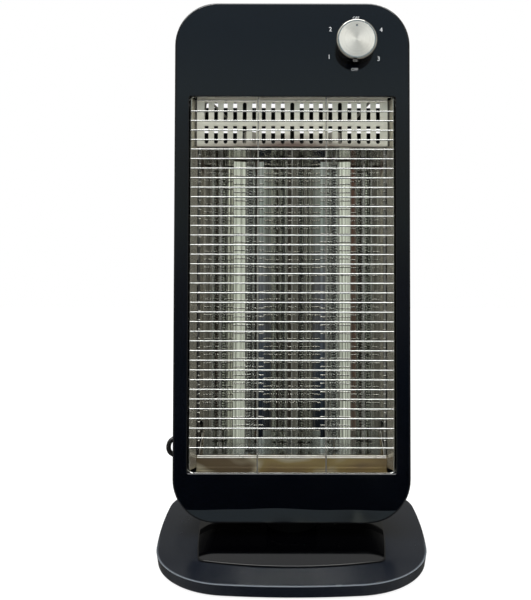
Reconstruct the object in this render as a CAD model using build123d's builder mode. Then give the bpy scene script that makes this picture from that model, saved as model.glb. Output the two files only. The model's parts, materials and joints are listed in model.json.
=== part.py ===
"""Upright radiant heater with two quartz tubes, a swinging casing and an oval base.

Millimetres, +Z up, front towards -Y. The origin lies on the floor, on the swing axis
and at the centre of the base's footprint.
"""
import os
from math import acos, atan2, cos, degrees, pi, radians, sin, sqrt, tan

from build123d import *

os.makedirs("parts", exist_ok=True)

# Fits and clearances
face_gap = 0.3              # between pieces that move past each other
run_clear = 0.05            # radial clearance of a shaft in its bush
seat_clear = 0.05           # radial clearance of a screw or pin in its hole

# Casing
casing_width = 257.0
casing_height = 565.0
casing_lift = 35.0          # underside of the casing above the floor
casing_front = -42.0        # front face, from the swing axis
casing_thick = 85.0
casing_corner = 46.5
casing_wall = 2.5
front_shell_deep = 58.0     # depth of the front shell, the rear cover closes the rest
front_round = 2.2           # rounding of the front edge
back_round = 11.0           # rounding of the rear edge

# Window in the front shell
window_side = 15.8          # front panel left standing beside the window
window_height = 408.6
window_rise = 53.2          # lower edge above the casing's foot
window_corner = 2.0
window_bevel = 0.6

# Wire guard
guard_wire = 1.6
guard_rim_wire = 2.4
guard_pitch = 10.44
guard_first = 27.1          # lowest level wire above the window's lower edge
guard_last = 15.9           # least room above the highest level wire
guard_inset = 1.5           # wire centres behind the front face
guard_edge = 1.9            # wire ends inside the window's edge
guard_spread = 3.7          # how far the wire ends lean out behind the panel
guard_deep = 6.0            # from the wires back to the rim wire
guard_bend = 2.0
guard_upright_x = 37.2
guard_play = 0.02           # between crossing wires and at the joints of the rim wire
guard_rim_corner = 8.0
guard_end_gap = 0.6         # between an upright wire and the window's edge
guard_seat_long = 7.0
guard_seat_wide = 4.4
guard_seat_at = (2, 10, 18, 26, 33)     # seats above these level wires

# Vent plate
sheet = 1.0                 # thickness of the steel sheets
vent_side = 7.2             # from the window's edge in to the plate's end
vent_front = 10.0           # behind the front face of the casing
vent_drop = 52.2            # lower edge below the window's top
vent_rise = 17.2            # upper edge above the window's top
slot_pitch = 10.55
slot_width = 4.4
slot_side = 5.0             # least metal beside the outer slots
slot_in = 2.8               # slots above the plate's lower edge
slot_row = 19.7             # height of each of the two rows
slot_band = 6.6             # solid band between the two rows

# Reflectors and their brackets
mirror_sheet = 0.9
trough_side = 3.6           # from a trough's outer edge to the side plate
trough_lip = 2.4            # flat lip along a trough's outer edge
trough_deep = 35.0
trough_flank = 18.2         # first bend of a trough's wall, in from its edge
trough_flank_deep = 20.5    # ... and back from its edge
trough_shoulder = 33.2      # second bend, in from the edge
trough_shoulder_deep = 33.7
tube_ahead = 18.43          # tube axes ahead of the troughs' backs
trough_front = 15.0         # front edge behind the casing's front face
bracket_rise = 14.2         # lower bracket above the window's lower edge
strip_drop = 16.2           # strip's lower edge below the window's lower edge
strip_front = 16.0          # lower reflector strip behind the front face
strip_lip_rise = 13.0       # lip above the strip's lower edge
strip_lip_deep = 2.0
side_lean = 5.0             # how far a side plate leans in
side_front = 4.5            # side plate's front edge behind the front face
side_back = 32.0            # side plate's screw flange behind the front face
side_flange = 19.0
side_edge = 2.5             # side plate's front edge inside the window's edge
side_low_gap = 2.0
side_top_gap = 0.8
side_screw_rises = (61.8, 211.8, 361.8)     # above the window's lower edge
side_screw_long = 10.0
side_tab_long = 13.0
panel_screw_long = 5.0
panel_screw_in = 42.7       # screws of the vent plate and the strip, from the window's edge
panel_screw_edge = 6.0      # and from the sheet's edge
bracket_back = 12.0         # rear edge of the brackets, from the swing axis
bracket_lip = 9.0
vent_flange = 4.5

# Heating tubes
tube_in = 2.8               # tubes nearer the middle than the troughs' axes
tube_outer = 11.0
tube_wall = 1.1
coil_from_low = 14.6        # first turn above the lower bracket
coil_from_high = 17.6       # last turn below the upper bracket
coil_outer = 6.6
coil_wire = 1.2
coil_turns = 46
coil_bend = 1.3             # bend from the last turn to the straight end
cap_outer = 15.0
cap_cover = 6.0             # length of glass inside a cap
cap_flange = 19.0
cap_flange_thick = 2.6
cap_length = 18.0
cap_seat = 0.2              # play of the glass end in its cap

# Selector knob
knob_in = 59.8              # axis from the casing's side
knob_down = 47.0            # axis below the casing's top
knob_dia = 43.0
knob_height = 16.0
knob_round = 0.6
knob_gap = 0.6
knob_face_dia = 38.0
knob_face_inset = 0.8
knob_hub_dia = 13.0
knob_hollow_dia = 37.0
knob_hollow_deep = 10.0
knob_dot_dia = 2.6
knob_dot_at = 14.6
shaft_dia = 6.0
switch_side = 34.0
switch_deep = 18.0
bushing_dia = 9.4
bushing_long = 3.4          # in front of the panel
switch_nut_flats = 13.0
switch_nut_thick = 2.2
knob_cap_thick = 2.4
knob_rim_bevel = 1.2
shaft_in_switch = 10.0

# Thermal cut-out
cutout_down = 45.6          # below the upper bracket
cutout_dia = 16.0
tab_apart = 7.0             # between the two tabs of the thermal cut-out
tab_thick = 0.8
tab_wide = 6.3
tab_long = 7.0
cutout_flange = 30.0
cutout_deep = 9.0

# Swing bearing
post_dia = 25.0
post_bore = 17.0
post_top = 51.0
post_flange_dia = 60.0
post_flange_thick = 2.5
collar_dia = 58.0
washer_dia = 52.0
washer_thick = 1.1
plate_thick = 1.5           # steel support plate in the foot of the casing
plate_left = -60.0
plate_in = 48.5             # its right edge in from the casing's side
plate_front = -32.0
plate_back = 31.5
plate_corner = 4.0
support_screw_places = [(-50.0, -24.0), (-50.0, 8.0), (18.0, -26.0), (18.0, 24.0)]
bush_dia = 31.0
bush_flange_dia = 40.0
bush_flange_thick = 2.0
ring_dia = 40.0
ring_thick = 1.5
nut_flats = 36.0
nut_thick = 6.2

# Swing drive
motor_x = 52.0
motor_dia = 48.0
motor_tall = 18.0
motor_ear_span = 56.0
motor_ear_end = 4.0         # metal beyond the ear screws
motor_ear_wide = 12.0
motor_round = 1.5
motor_shaft_dia = 7.0
crank_reach = 12.0
crank_thick = 3.0
crank_pin_dia = 4.0
pin_head_over = 1.6         # head beyond the pin all round
crank_width = 12.0
motor_shaft_in = 12.0       # shaft inside the motor
arm_reach = 21.0
arm_thick = 2.0
arm_pin_dia = 5.0
link_thick = 2.0
link_width = 10.0

# Base
base_width = 303.0
base_depth = 249.0
base_widest = 40.0          # the widest place behind the swing axis
base_corner_in = 22.0       # front corners in from the widest place
base_corner_back = 11.6     # front corners behind the front edge
base_rear_in = 1.9          # rear corners in from the widest place
base_rear_bow = 3.0
base_front_round = 86.0
base_rear_round = 64.0
base_rim_low = 2.0
base_rim_high = 13.0
base_rim_inset = 1.6
base_wall = 2.5
deck_low = 18.0
deck_high = 20.0
deck_front_in = 23.5        # deck's front edge behind the base's
deck_back_in = 32.5
deck_front_side = 36.9      # deck's corners in from the base's
deck_rear_side = 43.6
deck_bow = 12.0
deck_corner = 9.0
base_plate_thick = 1.2
base_plate_low = 3.2
base_plate_inset = 5.0
foot_dia = 20.0
foot_bevel = 0.6
foot_front_in = (33.5, 46.5)        # from the base's front corners and front edge
foot_rear_in = (37.6, 40.5)         # from the rear corners and the rear edge
deck_edge_gap = 0.1
deck_round = 1.0
post_screw_ring = 21.0
collar_screw_deep = 7.0
base_screw_long = 6.0
base_screw_head_tall = 1.4
base_screw_front_in = (69.5, 26.5)  # from the front corners and the front edge
base_screw_rear_in = (99.6, 20.5)   # from the rear corners and the rear edge
base_screw_side_in = 23.5           # from the widest place
base_screw_side_y = (-30.0, 60.0)

# Tip-over switch
tip_x = 0.0
tip_y = 66.0
tip_travel = 3.0
tip_foot_dia = 9.0
tip_flange_dia = 13.0
tip_flange_thick = 1.2
tip_stem_dia = 4.0
tip_foot_above = 0.2        # foot above the floor while the heater stands
spring_outer = 7.8
spring_wire = 0.7
spring_turns = 3
spring_bend = 0.8
switch_long = 12.8
switch_wide = 5.8
tip_round = 0.8
switch_tall = 6.2
lever_root = 3.0            # lever beyond the plunger flange
lever_wide = 3.0
lever_thick = 0.4
stem_thick = 1.2            # stem from the lever up into the switch
stem_in = 1.0

# Louvres of the rear cover
louvre_side = 9.0           # least wall beside the outer louvres
louvre_foot = 100.0         # least wall below the lowest louvres
louvre_pitch_x = 58.7
louvre_pitch_z = 31.4
louvre_rib = 6.5
louvre_slot = 6.2
louvre_down = 86.4          # highest row below the casing's top

# Screws
screw_dia = 3.6
screw_head_dia = 7.4
screw_head_tall = 2.2
boss_dia = 7.6
boss_in = 7.1               # posts in from the casing's side
boss_sleeve = 1.2           # sleeve of the rear cover round a post
cover_screw_rises = (165.0, 345.0)  # above the casing's foot
cover_screw_down = 65.0             # upper side screws below the casing's top
cover_screw_foot = (22.5, 25.0)     # from the casing's side and foot
cover_screw_top = (68.5, 8.0)       # from the casing's side and top
cover_screw_long = 16.0
cover_head_sunk = 3.6
cover_head_clear = 0.3
cover_pilot_deep = 16.0
side_pilot_deep = 12.0
vent_pilot_deep = 5.6
strip_pilot_deep = 6.0

# Cord
cord_dia = 6.4
relief_in = 32.5            # cord entry in from the casing's left side
relief_z = 88.0
relief_long = 26.0
relief_root_dia = 11.0
relief_tip_dia = 8.0
coil_centre = (-55.0, 238.0)
coil_radius = 44.0
coil_step = 7.2             # between neighbouring loops
coil_lift = 0.9             # the tie's strap runs under the coil
relief_neck_dia = 9.0
relief_flange_dia = 14.0
relief_flange_thick = 1.5
relief_ribs = 6
relief_groove = 0.9
tie_width = 9.0
tie_thick = 0.5
plug_round = 1.5
pin_round = 1.2
plug_axis = 12.5            # height of the plug's axis as it lies on the floor
plug_long = 32.0
plug_wide = 36.0
plug_neck_long = 18.0
plug_neck_dia = 13.0
pin_dia = 4.8
pin_long = 19.0
pin_spacing = 19.0

# Terminal block and inner leads
block_in = 44.5             # from the casing's side
block_rise = 27.0           # above the casing's foot
block_long = 30.0
block_tall = 16.0
block_deep = 12.0
lead_dia = 2.6
lead_bend = 12.0
supply_in = 16.5            # supply lead from the casing's side
supply_y = 26.0

# Places that follow from the sizes above
casing_back = casing_front + casing_thick
casing_mid = casing_lift + casing_height / 2
split = casing_front + front_shell_deep
panel_back = casing_front + casing_wall
floor_in = casing_lift + casing_wall
casing_top = casing_lift + casing_height
casing_half = casing_width / 2
window_width = casing_width - 2 * window_side
window_low = casing_lift + window_rise
window_top = window_low + window_height
window_mid = window_low + window_height / 2
guard_low = window_low + guard_first
guard_count = int((window_height - guard_first - guard_last) / guard_pitch) + 1
vent_width = window_width - 2 * vent_side
vent_low = window_top - vent_drop
vent_high = window_top + vent_rise
slot_low = vent_low + slot_in
slot_high = slot_low + 2 * slot_row + slot_band
slot_count = int((vent_width - 2 * slot_side) / slot_pitch)
bracket_width = window_width - 2 * (side_edge + side_lean)
bracket_low = window_low + bracket_rise
strip_low = window_low - strip_drop
trough_half = (bracket_width / 2 - trough_side) / 2
tube_x = trough_half - tube_in
bracket_top = vent_low + sheet
tube_low = bracket_low - cap_cover
tube_high = bracket_top + sheet + cap_cover
coil_low = bracket_low + sheet + coil_from_low
coil_high = bracket_top - coil_from_high
cutout_z = bracket_top - cutout_down
knob_x = casing_half - knob_in
knob_z = casing_top - knob_down
boss_x = casing_half - boss_in
louvre_top = casing_top - louvre_down
louvre_columns = int((casing_width - 2 * louvre_side) / louvre_pitch_x)
louvre_rows = int((casing_height - louvre_down - louvre_foot) / louvre_pitch_z) + 1
block_x = block_in - casing_half
plate_right = casing_half - plate_in
relief_x = relief_in - casing_half
block_z = casing_lift + block_rise
supply_x = supply_in - casing_half
base_front = -base_depth / 2
base_back = base_depth / 2
base_corner_half = base_width / 2 - base_corner_in
base_rear_half = base_width / 2 - base_rear_in
deck_front = base_front + deck_front_in
deck_back = base_back - deck_back_in
deck_front_half = base_corner_half - deck_front_side
deck_rear_half = base_rear_half - deck_rear_side
foot_front = (base_corner_half - foot_front_in[0], base_front + foot_front_in[1])
foot_rear = (base_rear_half - foot_rear_in[0], base_back - foot_rear_in[1])
motor_screw_places = [(motor_x, -motor_ear_span / 2), (motor_x, motor_ear_span / 2)]
cover_head_seat = casing_back - cover_head_sunk
centred = (Align.CENTER, Align.CENTER, Align.CENTER)
upward = (Align.CENTER, Align.CENTER, Align.MIN)
downward = (Align.CENTER, Align.CENTER, Align.MAX)
to_back = (-90, 0, 0)       # turns +Z towards the rear
to_front = (90, 0, 0)       # turns +Z towards the front


def save(builder, name):
    """Label a finished piece and write its file."""
    builder.part.label = name
    export_step(builder.part, f"parts/{name}.step")
    print(name, "solids", len(builder.part.solids()), "volume", round(builder.part.volume))


def face_plane(y):
    """Upright plane at depth y, seen from the front; extrusions with a minus go back."""
    return Plane.XZ.offset(-y)


def add_screws(places, turn, shank, length, head, tall):
    """Pan-head screws seated at the places, the shank along the turned -Z."""
    with Locations(*[Location(place, turn) for place in places]):
        Cylinder(shank / 2, length, align=downward)
        Cylinder(head / 2, tall, align=upward)
    with Locations(*[Location(place, turn) * Location((0, 0, tall)) for place in places]):
        for long, wide in ((head * 0.6, 1.0), (1.0, head * 0.6)):
            Box(long, wide, tall * 0.9, align=centred, mode=Mode.SUBTRACT)


def biarc(start, start_tangent, end, end_tangent):
    """Two tangent arcs from start to end, as the middle point and its tangent."""
    p0, p1 = Vector(start), Vector(end)
    t0, t1 = Vector(start_tangent).normalized(), Vector(end_tangent).normalized()
    chord, sum_t = p1 - p0, t0 + t1
    a = 2 * (t0.dot(t1) - 1)
    b = -2 * chord.dot(sum_t)
    c = chord.dot(chord)
    if abs(a) < 1e-9:
        reach = -c / b
    else:
        reach = (-b - sqrt(b * b - 4 * a * c)) / (2 * a)
    near, far = p0 + t0 * reach, p1 - t1 * reach
    return (near + far) / 2, (far - near).normalized()


def arcs_between(start, start_tangent, end, end_tangent):
    """Add a biarc to the line being drawn."""
    middle, tangent = biarc(start, start_tangent, end, end_tangent)
    TangentArc(start, middle, tangent=start_tangent)
    TangentArc(middle, end, tangent=tangent)


def helix_point(centre, radius, rise, turns, share):
    """Point and tangent of a helix about +Z, at a share of its length from 0 to 1."""
    angle = 2 * pi * turns * share
    point = Vector(centre) + Vector(radius * cos(angle), radius * sin(angle), rise * share)
    tangent = Vector(-sin(angle), cos(angle), rise / (2 * pi * turns * radius))
    return point, tangent.normalized()


def draw_helix(centre, radius, rise, turns, end_bend, end_run):
    """Helix on half-turn biarcs, its two ends bent along the axis and run out straight."""
    steps = 2 * turns
    marks = [helix_point(centre, radius, rise, turns, i / steps) for i in range(steps + 1)]
    first, first_tangent = marks[0]
    last, last_tangent = marks[-1]
    flat_in = Vector(first_tangent.X, first_tangent.Y, 0).normalized()
    flat_out = Vector(last_tangent.X, last_tangent.Y, 0).normalized()
    lead_in = first - flat_in * end_bend - Vector(0, 0, end_bend)
    lead_out = last + flat_out * end_bend + Vector(0, 0, end_bend)
    Line(lead_in - Vector(0, 0, end_run), lead_in)
    arcs_between(lead_in, (0, 0, 1), first, first_tangent)
    for (p0, t0), (p1, t1) in zip(marks, marks[1:]):
        arcs_between(p0, t0, p1, t1)
    arcs_between(last, last_tangent, lead_out, (0, 0, 1))
    Line(lead_out, lead_out + Vector(0, 0, end_run))


def least_self_gap(points, wire, skip):
    """Smallest free gap between stretches of a tube's path that lie skip points apart."""
    gap = 1e9
    for i in range(0, len(points)):
        for j in range(i + skip, len(points)):
            gap = min(gap, (points[i] - points[j]).length - wire)
    return gap


def sweep_round(path, diameter):
    """Sweep a round section along the finished path, inside a part being built."""
    with BuildSketch(Plane(origin=path @ 0, z_dir=path % 0)) as section:
        Circle(diameter / 2)
    sweep(sections=section.sketch, path=path)


def corner_radii(points, share=0.45):
    """Radius of each corner of a cord's route, from its two runs and its turn."""
    radii = []
    for before, corner, after in zip(points, points[1:], points[2:]):
        run_in, run_out = Vector(corner) - Vector(before), Vector(after) - Vector(corner)
        turn = radians(run_in.get_angle(run_out))
        radii.append(share * min(run_in.length, run_out.length) / tan(turn / 2))
    return radii


# Front casing shell
with BuildPart() as front_casing:
    with BuildSketch(face_plane(casing_front)):
        with Locations((0, casing_mid)):
            RectangleRounded(casing_width, casing_height, casing_corner)
    extrude(amount=-front_shell_deep)
    front_edges = front_casing.edges().group_by(Axis.Y)[0]
    fillet(front_edges, front_round)
    with BuildSketch(face_plane(panel_back)):
        with Locations((0, casing_mid)):
            RectangleRounded(
                casing_width - 2 * casing_wall,
                casing_height - 2 * casing_wall,
                casing_corner - casing_wall,
            )
    extrude(amount=-front_shell_deep, mode=Mode.SUBTRACT)
    with BuildSketch(face_plane(casing_front)):
        with Locations((0, window_mid)):
            RectangleRounded(window_width, window_height, window_corner)
    extrude(amount=-casing_wall, mode=Mode.SUBTRACT)
    window_edges = front_casing.edges().filter_by_position(
        Axis.Y, casing_front - 0.01, casing_front + 0.01
    ).filter_by_position(Axis.X, -window_width / 2 - 0.1, window_width / 2 + 0.1).filter_by_position(
        Axis.Z, window_low - 0.1, window_low + window_height + 0.1
    )
    chamfer(window_edges, window_bevel)
    # Screw posts for the rear cover and, shorter, for the side plates
    cover_screw_places = [
        (side * x, z)
        for side in (-1, 1)
        for x, z in (
            *[(boss_x, casing_lift + rise) for rise in cover_screw_rises],
            (boss_x, casing_top - cover_screw_down),
            (casing_half - cover_screw_foot[0], casing_lift + cover_screw_foot[1]),
            (casing_half - cover_screw_top[0], casing_top - cover_screw_top[1]),
        )
    ]
    side_screw_levels = [window_low + rise for rise in side_screw_rises]
    side_screw_places = [(side * boss_x, z) for side in (-1, 1) for z in side_screw_levels]
    cover_post_deep = front_shell_deep - casing_wall
    side_post_deep = side_back - casing_wall
    with BuildSketch(face_plane(panel_back)):
        with Locations(*cover_screw_places):
            Circle(boss_dia / 2)
    extrude(amount=-cover_post_deep)
    with BuildSketch(face_plane(panel_back)):
        with Locations(*side_screw_places):
            Circle(boss_dia / 2)
    extrude(amount=-side_post_deep)
    # Posts for the vent plate above the window and the reflector strip below it
    panel_screw_x = window_width / 2 - panel_screw_in
    vent_screw_places = [(side * panel_screw_x, vent_high - panel_screw_edge) for side in (-1, 1)]
    strip_screw_places = [(side * panel_screw_x, strip_low + panel_screw_edge) for side in (-1, 1)]
    for places, reach in (
        (vent_screw_places, vent_front - casing_wall),
        (strip_screw_places, strip_front - casing_wall),
    ):
        with BuildSketch(face_plane(panel_back)):
            with Locations(*places):
                Circle(boss_dia / 2)
        extrude(amount=-reach)
    # Ribs that the guard's rim wire rests against
    rim_half = window_width / 2 - guard_edge + guard_spread
    rim_y = casing_front + guard_inset + guard_deep
    seat_deep = rim_y - guard_rim_wire / 2 - seat_clear - panel_back
    seat_levels = [guard_low + (i + 0.5) * guard_pitch for i in guard_seat_at]
    with BuildSketch(face_plane(panel_back)):
        for side in (-1, 1):
            with Locations(*[(side * (rim_half + guard_rim_wire / 2), z) for z in seat_levels]):
                Rectangle(guard_seat_wide, guard_seat_long)
    extrude(amount=-seat_deep)
    # Pilot holes in the posts
    for places, depth, length in (
        (cover_screw_places, panel_back + cover_post_deep, cover_pilot_deep),
        (side_screw_places, panel_back + side_post_deep, side_pilot_deep),
        (vent_screw_places, casing_front + vent_front, vent_pilot_deep),
        (strip_screw_places, casing_front + strip_front, strip_pilot_deep),
    ):
        with Locations(*[Location((x, depth, z), to_front) for x, z in places]):
            Cylinder(screw_dia / 2 + seat_clear, length, align=upward, mode=Mode.SUBTRACT)
    # Holes for the switch bushing, the swing bearing and the screws in the floor
    with Locations(Location((knob_x, panel_back, knob_z), to_front)):
        Cylinder(bushing_dia / 2 + seat_clear, casing_wall, align=upward, mode=Mode.SUBTRACT)
    with Locations((0, 0, casing_lift)):
        Cylinder(bush_dia / 2 + seat_clear, casing_wall, align=upward, mode=Mode.SUBTRACT)
    with Locations(*[(x, y, casing_lift) for x, y in support_screw_places + motor_screw_places if y < split]):
        Cylinder(screw_dia / 2 + seat_clear, casing_wall, align=upward, mode=Mode.SUBTRACT)
save(front_casing, "front_casing")

# Rear cover with its louvres; its hollow keeps an even wall round the rounded edge
with BuildPart() as cover_hollow:
    with BuildSketch(face_plane(casing_back - casing_wall)):
        with Locations((0, casing_mid)):
            RectangleRounded(
                casing_width - 2 * casing_wall,
                casing_height - 2 * casing_wall,
                casing_corner - casing_wall,
            )
    extrude(amount=casing_thick - front_shell_deep)
    hollow_edges = cover_hollow.edges().group_by(Axis.Y)[-1]
    fillet(hollow_edges, back_round - casing_wall)

with BuildPart() as rear_cover:
    with BuildSketch(face_plane(casing_back)):
        with Locations((0, casing_mid)):
            RectangleRounded(casing_width, casing_height, casing_corner)
    extrude(amount=casing_thick - front_shell_deep)
    back_edges = rear_cover.edges().group_by(Axis.Y)[-1]
    fillet(back_edges, back_round)
    add(cover_hollow.part, mode=Mode.SUBTRACT)
    # Sleeves that meet the screw posts of the front casing, sunk for the screw heads
    with BuildSketch(face_plane(casing_back - 0.5)):
        with Locations(*cover_screw_places):
            Circle(boss_dia / 2 + boss_sleeve)
    extrude(amount=casing_back - 0.5 - split)
    with Locations(*[Location((x, cover_head_seat, z), to_back) for x, z in cover_screw_places]):
        Cylinder(screw_head_dia / 2 + cover_head_clear, casing_thick, align=upward, mode=Mode.SUBTRACT)
    with Locations(*[Location((x, cover_head_seat, z), to_front) for x, z in cover_screw_places]):
        Cylinder(screw_dia / 2 + cover_head_clear, casing_thick, align=upward, mode=Mode.SUBTRACT)
    with BuildSketch(face_plane(casing_back)):
        first_row = louvre_top - (louvre_rows - 1) * louvre_pitch_z / 2
        with Locations((0, first_row)):
            with GridLocations(louvre_pitch_x, louvre_pitch_z, louvre_columns, louvre_rows):
                SlotOverall(louvre_pitch_x - louvre_rib, louvre_slot)
    extrude(amount=casing_wall, mode=Mode.SUBTRACT)
    # Hole for the cord's strain relief
    with Locations(Location((relief_x, casing_back, relief_z), to_front)):
        Cylinder(relief_neck_dia / 2 + seat_clear, casing_wall, align=upward, mode=Mode.SUBTRACT)
    with Locations(*[(x, y, casing_lift) for x, y in support_screw_places + motor_screw_places if y > split]):
        Cylinder(screw_dia / 2 + seat_clear, casing_wall, align=upward, mode=Mode.SUBTRACT)
save(rear_cover, "rear_cover")

# Screws of the rear cover
with BuildPart() as cover_screws:
    places = [(x, cover_head_seat, z) for x, z in cover_screw_places]
    add_screws(places, to_back, screw_dia, cover_screw_long, screw_head_dia, screw_head_tall)
save(cover_screws, "rear_cover_screws")

# Wire guard: level wires in front of two upright wires, and a rim wire behind the panel;
# each wire is a solid of its own, its leaning ends stopping at the rim wire
wire_y = casing_front + guard_inset
wire_half = window_width / 2 - guard_edge
upright_y = wire_y + guard_wire + guard_play
upright_ends = (
    window_low + guard_end_gap + guard_wire / 2,
    window_top - guard_end_gap - guard_wire / 2,
)
rim_low = upright_ends[0] - guard_spread
rim_high = upright_ends[1] + guard_spread
rim_reach = guard_rim_wire / 2 + guard_play
level_lean = Vector(guard_spread, rim_y - wire_y).normalized() * rim_reach
upright_lean = Vector(guard_spread, rim_y - upright_y).normalized() * rim_reach
with BuildPart() as level_wire:
    with BuildLine() as level_path:
        FilletPolyline(
            (level_lean.X - rim_half, rim_y - level_lean.Y, 0),
            (-wire_half, wire_y, 0),
            (wire_half, wire_y, 0),
            (rim_half - level_lean.X, rim_y - level_lean.Y, 0),
            radius=guard_bend,
        )
    sweep_round(level_path.line, guard_wire)

with BuildPart() as upright_wire:
    with BuildLine() as upright_path:
        FilletPolyline(
            (0, rim_y - upright_lean.Y, rim_low + upright_lean.X),
            (0, upright_y, upright_ends[0]),
            (0, upright_y, upright_ends[1]),
            (0, rim_y - upright_lean.Y, rim_high - upright_lean.X),
            radius=guard_bend,
        )
    sweep_round(upright_path.line, guard_wire)

with BuildPart() as wire_guard:
    with Locations(*[(0, 0, guard_low + i * guard_pitch) for i in range(guard_count)]):
        add(level_wire.part)
    with Locations((-guard_upright_x, 0, 0), (guard_upright_x, 0, 0)):
        add(upright_wire.part)
    # Rim wire: four straight runs between four bends
    bend_x = rim_half - guard_rim_corner
    bend_low = rim_low + guard_rim_corner
    bend_high = rim_high - guard_rim_corner
    for side in (-1, 1):
        with BuildLine() as side_run:
            Line(
                (side * rim_half, rim_y, bend_low + guard_play),
                (side * rim_half, rim_y, bend_high - guard_play),
            )
        sweep_round(side_run.line, guard_rim_wire)
    for z in (rim_low, rim_high):
        with BuildLine() as cross_run:
            Line((guard_play - bend_x, rim_y, z), (bend_x - guard_play, rim_y, z))
        sweep_round(cross_run.line, guard_rim_wire)
    for x, z, start in (
        (bend_x, bend_high, 0),
        (-bend_x, bend_high, 90),
        (-bend_x, bend_low, 180),
        (bend_x, bend_low, 270),
    ):
        with BuildLine(Plane((x, rim_y, z), x_dir=(1, 0, 0), z_dir=(0, -1, 0))) as bend:
            CenterArc((0, 0), guard_rim_corner, start, 90)
        sweep_round(bend.line, guard_rim_wire)
save(wire_guard, "wire_guard")

# Slotted vent plate across the top of the window
vent_y = casing_front + vent_front
with BuildPart() as vent_plate:
    with BuildSketch(face_plane(vent_y)):
        with Locations((0, (vent_low + vent_high) / 2)):
            Rectangle(vent_width, vent_high - vent_low)
        with Locations((0, (slot_low + slot_high) / 2)):
            with GridLocations(slot_pitch, 1, slot_count, 1):
                SlotOverall(slot_high - slot_low, slot_width, rotation=90, mode=Mode.SUBTRACT)
            Rectangle(slot_count * slot_pitch, slot_band)
        with Locations(*vent_screw_places):
            Circle(screw_dia / 2 + seat_clear, mode=Mode.SUBTRACT)
    extrude(amount=-sheet)
    # Lower flange, bent back under the upper bracket
    with BuildSketch(Plane.XY.offset(vent_low)):
        with Locations((0, vent_y + vent_flange / 2)):
            Rectangle(vent_width, vent_flange)
    extrude(amount=sheet)
save(vent_plate, "vent_plate")

# Trough reflectors: sheet folded into facets round the tube
trough_low = bracket_low + sheet
trough_edge_y = casing_front + trough_front
trough_back_y = trough_edge_y + trough_deep
for side, name in ((-1, "left_reflector"), (1, "right_reflector")):
    inner_x = side * seat_clear
    outer_x = side * (2 * trough_half)
    lip_x = outer_x + side * trough_lip
    bends = [
        (inner_x, trough_edge_y),
        (side * trough_flank, trough_edge_y + trough_flank_deep),
        (side * trough_shoulder, trough_edge_y + trough_shoulder_deep),
        (side * trough_half, trough_back_y),
        (outer_x - side * trough_shoulder, trough_edge_y + trough_shoulder_deep),
        (outer_x - side * trough_flank, trough_edge_y + trough_flank_deep),
        (outer_x, trough_edge_y),
        (lip_x, trough_edge_y),
    ]
    behind = [(x, y + mirror_sheet) for x, y in reversed(bends)]
    with BuildPart() as reflector:
        with BuildSketch(Plane.XY.offset(trough_low)):
            with BuildLine():
                Polyline(*bends, *behind, close=True)
            make_face()
        extrude(amount=bracket_top - trough_low)
    save(reflector, name)

# Side plates: polished strips between the window's edge and the troughs
side_top = window_top - side_top_gap
side_bottom = window_low + side_low_gap
for side, name in ((-1, "left_side_plate"), (1, "right_side_plate")):
    front_x = window_width / 2 - side_edge
    lean_x = front_x - side_lean
    front_y = casing_front + side_front
    flange_y = casing_front + side_back
    flange_x = boss_x - boss_dia / 2 - face_gap
    with BuildPart() as side_plate:
        with BuildSketch(Plane.XY.offset(side_bottom)):
            with BuildLine():
                Polyline(
                    (side * front_x, front_y),
                    (side * lean_x, trough_edge_y),
                    (side * lean_x, flange_y + sheet),
                    (side * flange_x, flange_y + sheet),
                    (side * flange_x, flange_y),
                    (side * (lean_x + sheet), flange_y),
                    (side * (lean_x + sheet), trough_edge_y),
                    (side * (front_x + sheet), front_y),
                    close=True,
                )
            make_face()
        extrude(amount=side_top - side_bottom)
        # Screw tabs that reach over the posts
        with BuildSketch(face_plane(flange_y)):
            with Locations(*[(side * (lean_x + side_flange / 2), z) for z in side_screw_levels]):
                Rectangle(side_flange, side_tab_long)
            with Locations(*[(side * boss_x, z) for z in side_screw_levels]):
                Circle(screw_dia / 2 + seat_clear, mode=Mode.SUBTRACT)
        extrude(amount=-sheet)
    save(side_plate, name)
with BuildPart() as side_screws:
    places = [(side * boss_x, flange_y + sheet, z) for side in (-1, 1) for z in side_screw_levels]
    add_screws(places, to_back, screw_dia, side_screw_long, screw_head_dia, screw_head_tall)
save(side_screws, "side_plate_screws")

# Lower reflector strip across the foot of the window
strip_y = casing_front + strip_front
with BuildPart() as lower_strip:
    with BuildSketch(face_plane(strip_y)):
        with Locations((0, (strip_low + trough_low) / 2)):
            Rectangle(bracket_width, trough_low - strip_low)
        with Locations(*strip_screw_places):
            Circle(screw_dia / 2 + seat_clear, mode=Mode.SUBTRACT)
    extrude(amount=-sheet)
    # Folded lip that stands forward above the window's lower edge
    with BuildSketch(Plane.XY.offset(strip_low + strip_lip_rise)):
        with Locations((0, strip_y - strip_lip_deep / 2)):
            Rectangle(bracket_width, strip_lip_deep)
    extrude(amount=sheet)
save(lower_strip, "lower_reflector_strip")

with BuildPart() as panel_screws:
    places = [(x, vent_y + sheet, z) for x, z in vent_screw_places]
    places += [(x, strip_y + sheet, z) for x, z in strip_screw_places]
    add_screws(places, to_back, screw_dia, panel_screw_long, screw_head_dia, screw_head_tall)
save(panel_screws, "panel_screws")

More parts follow.
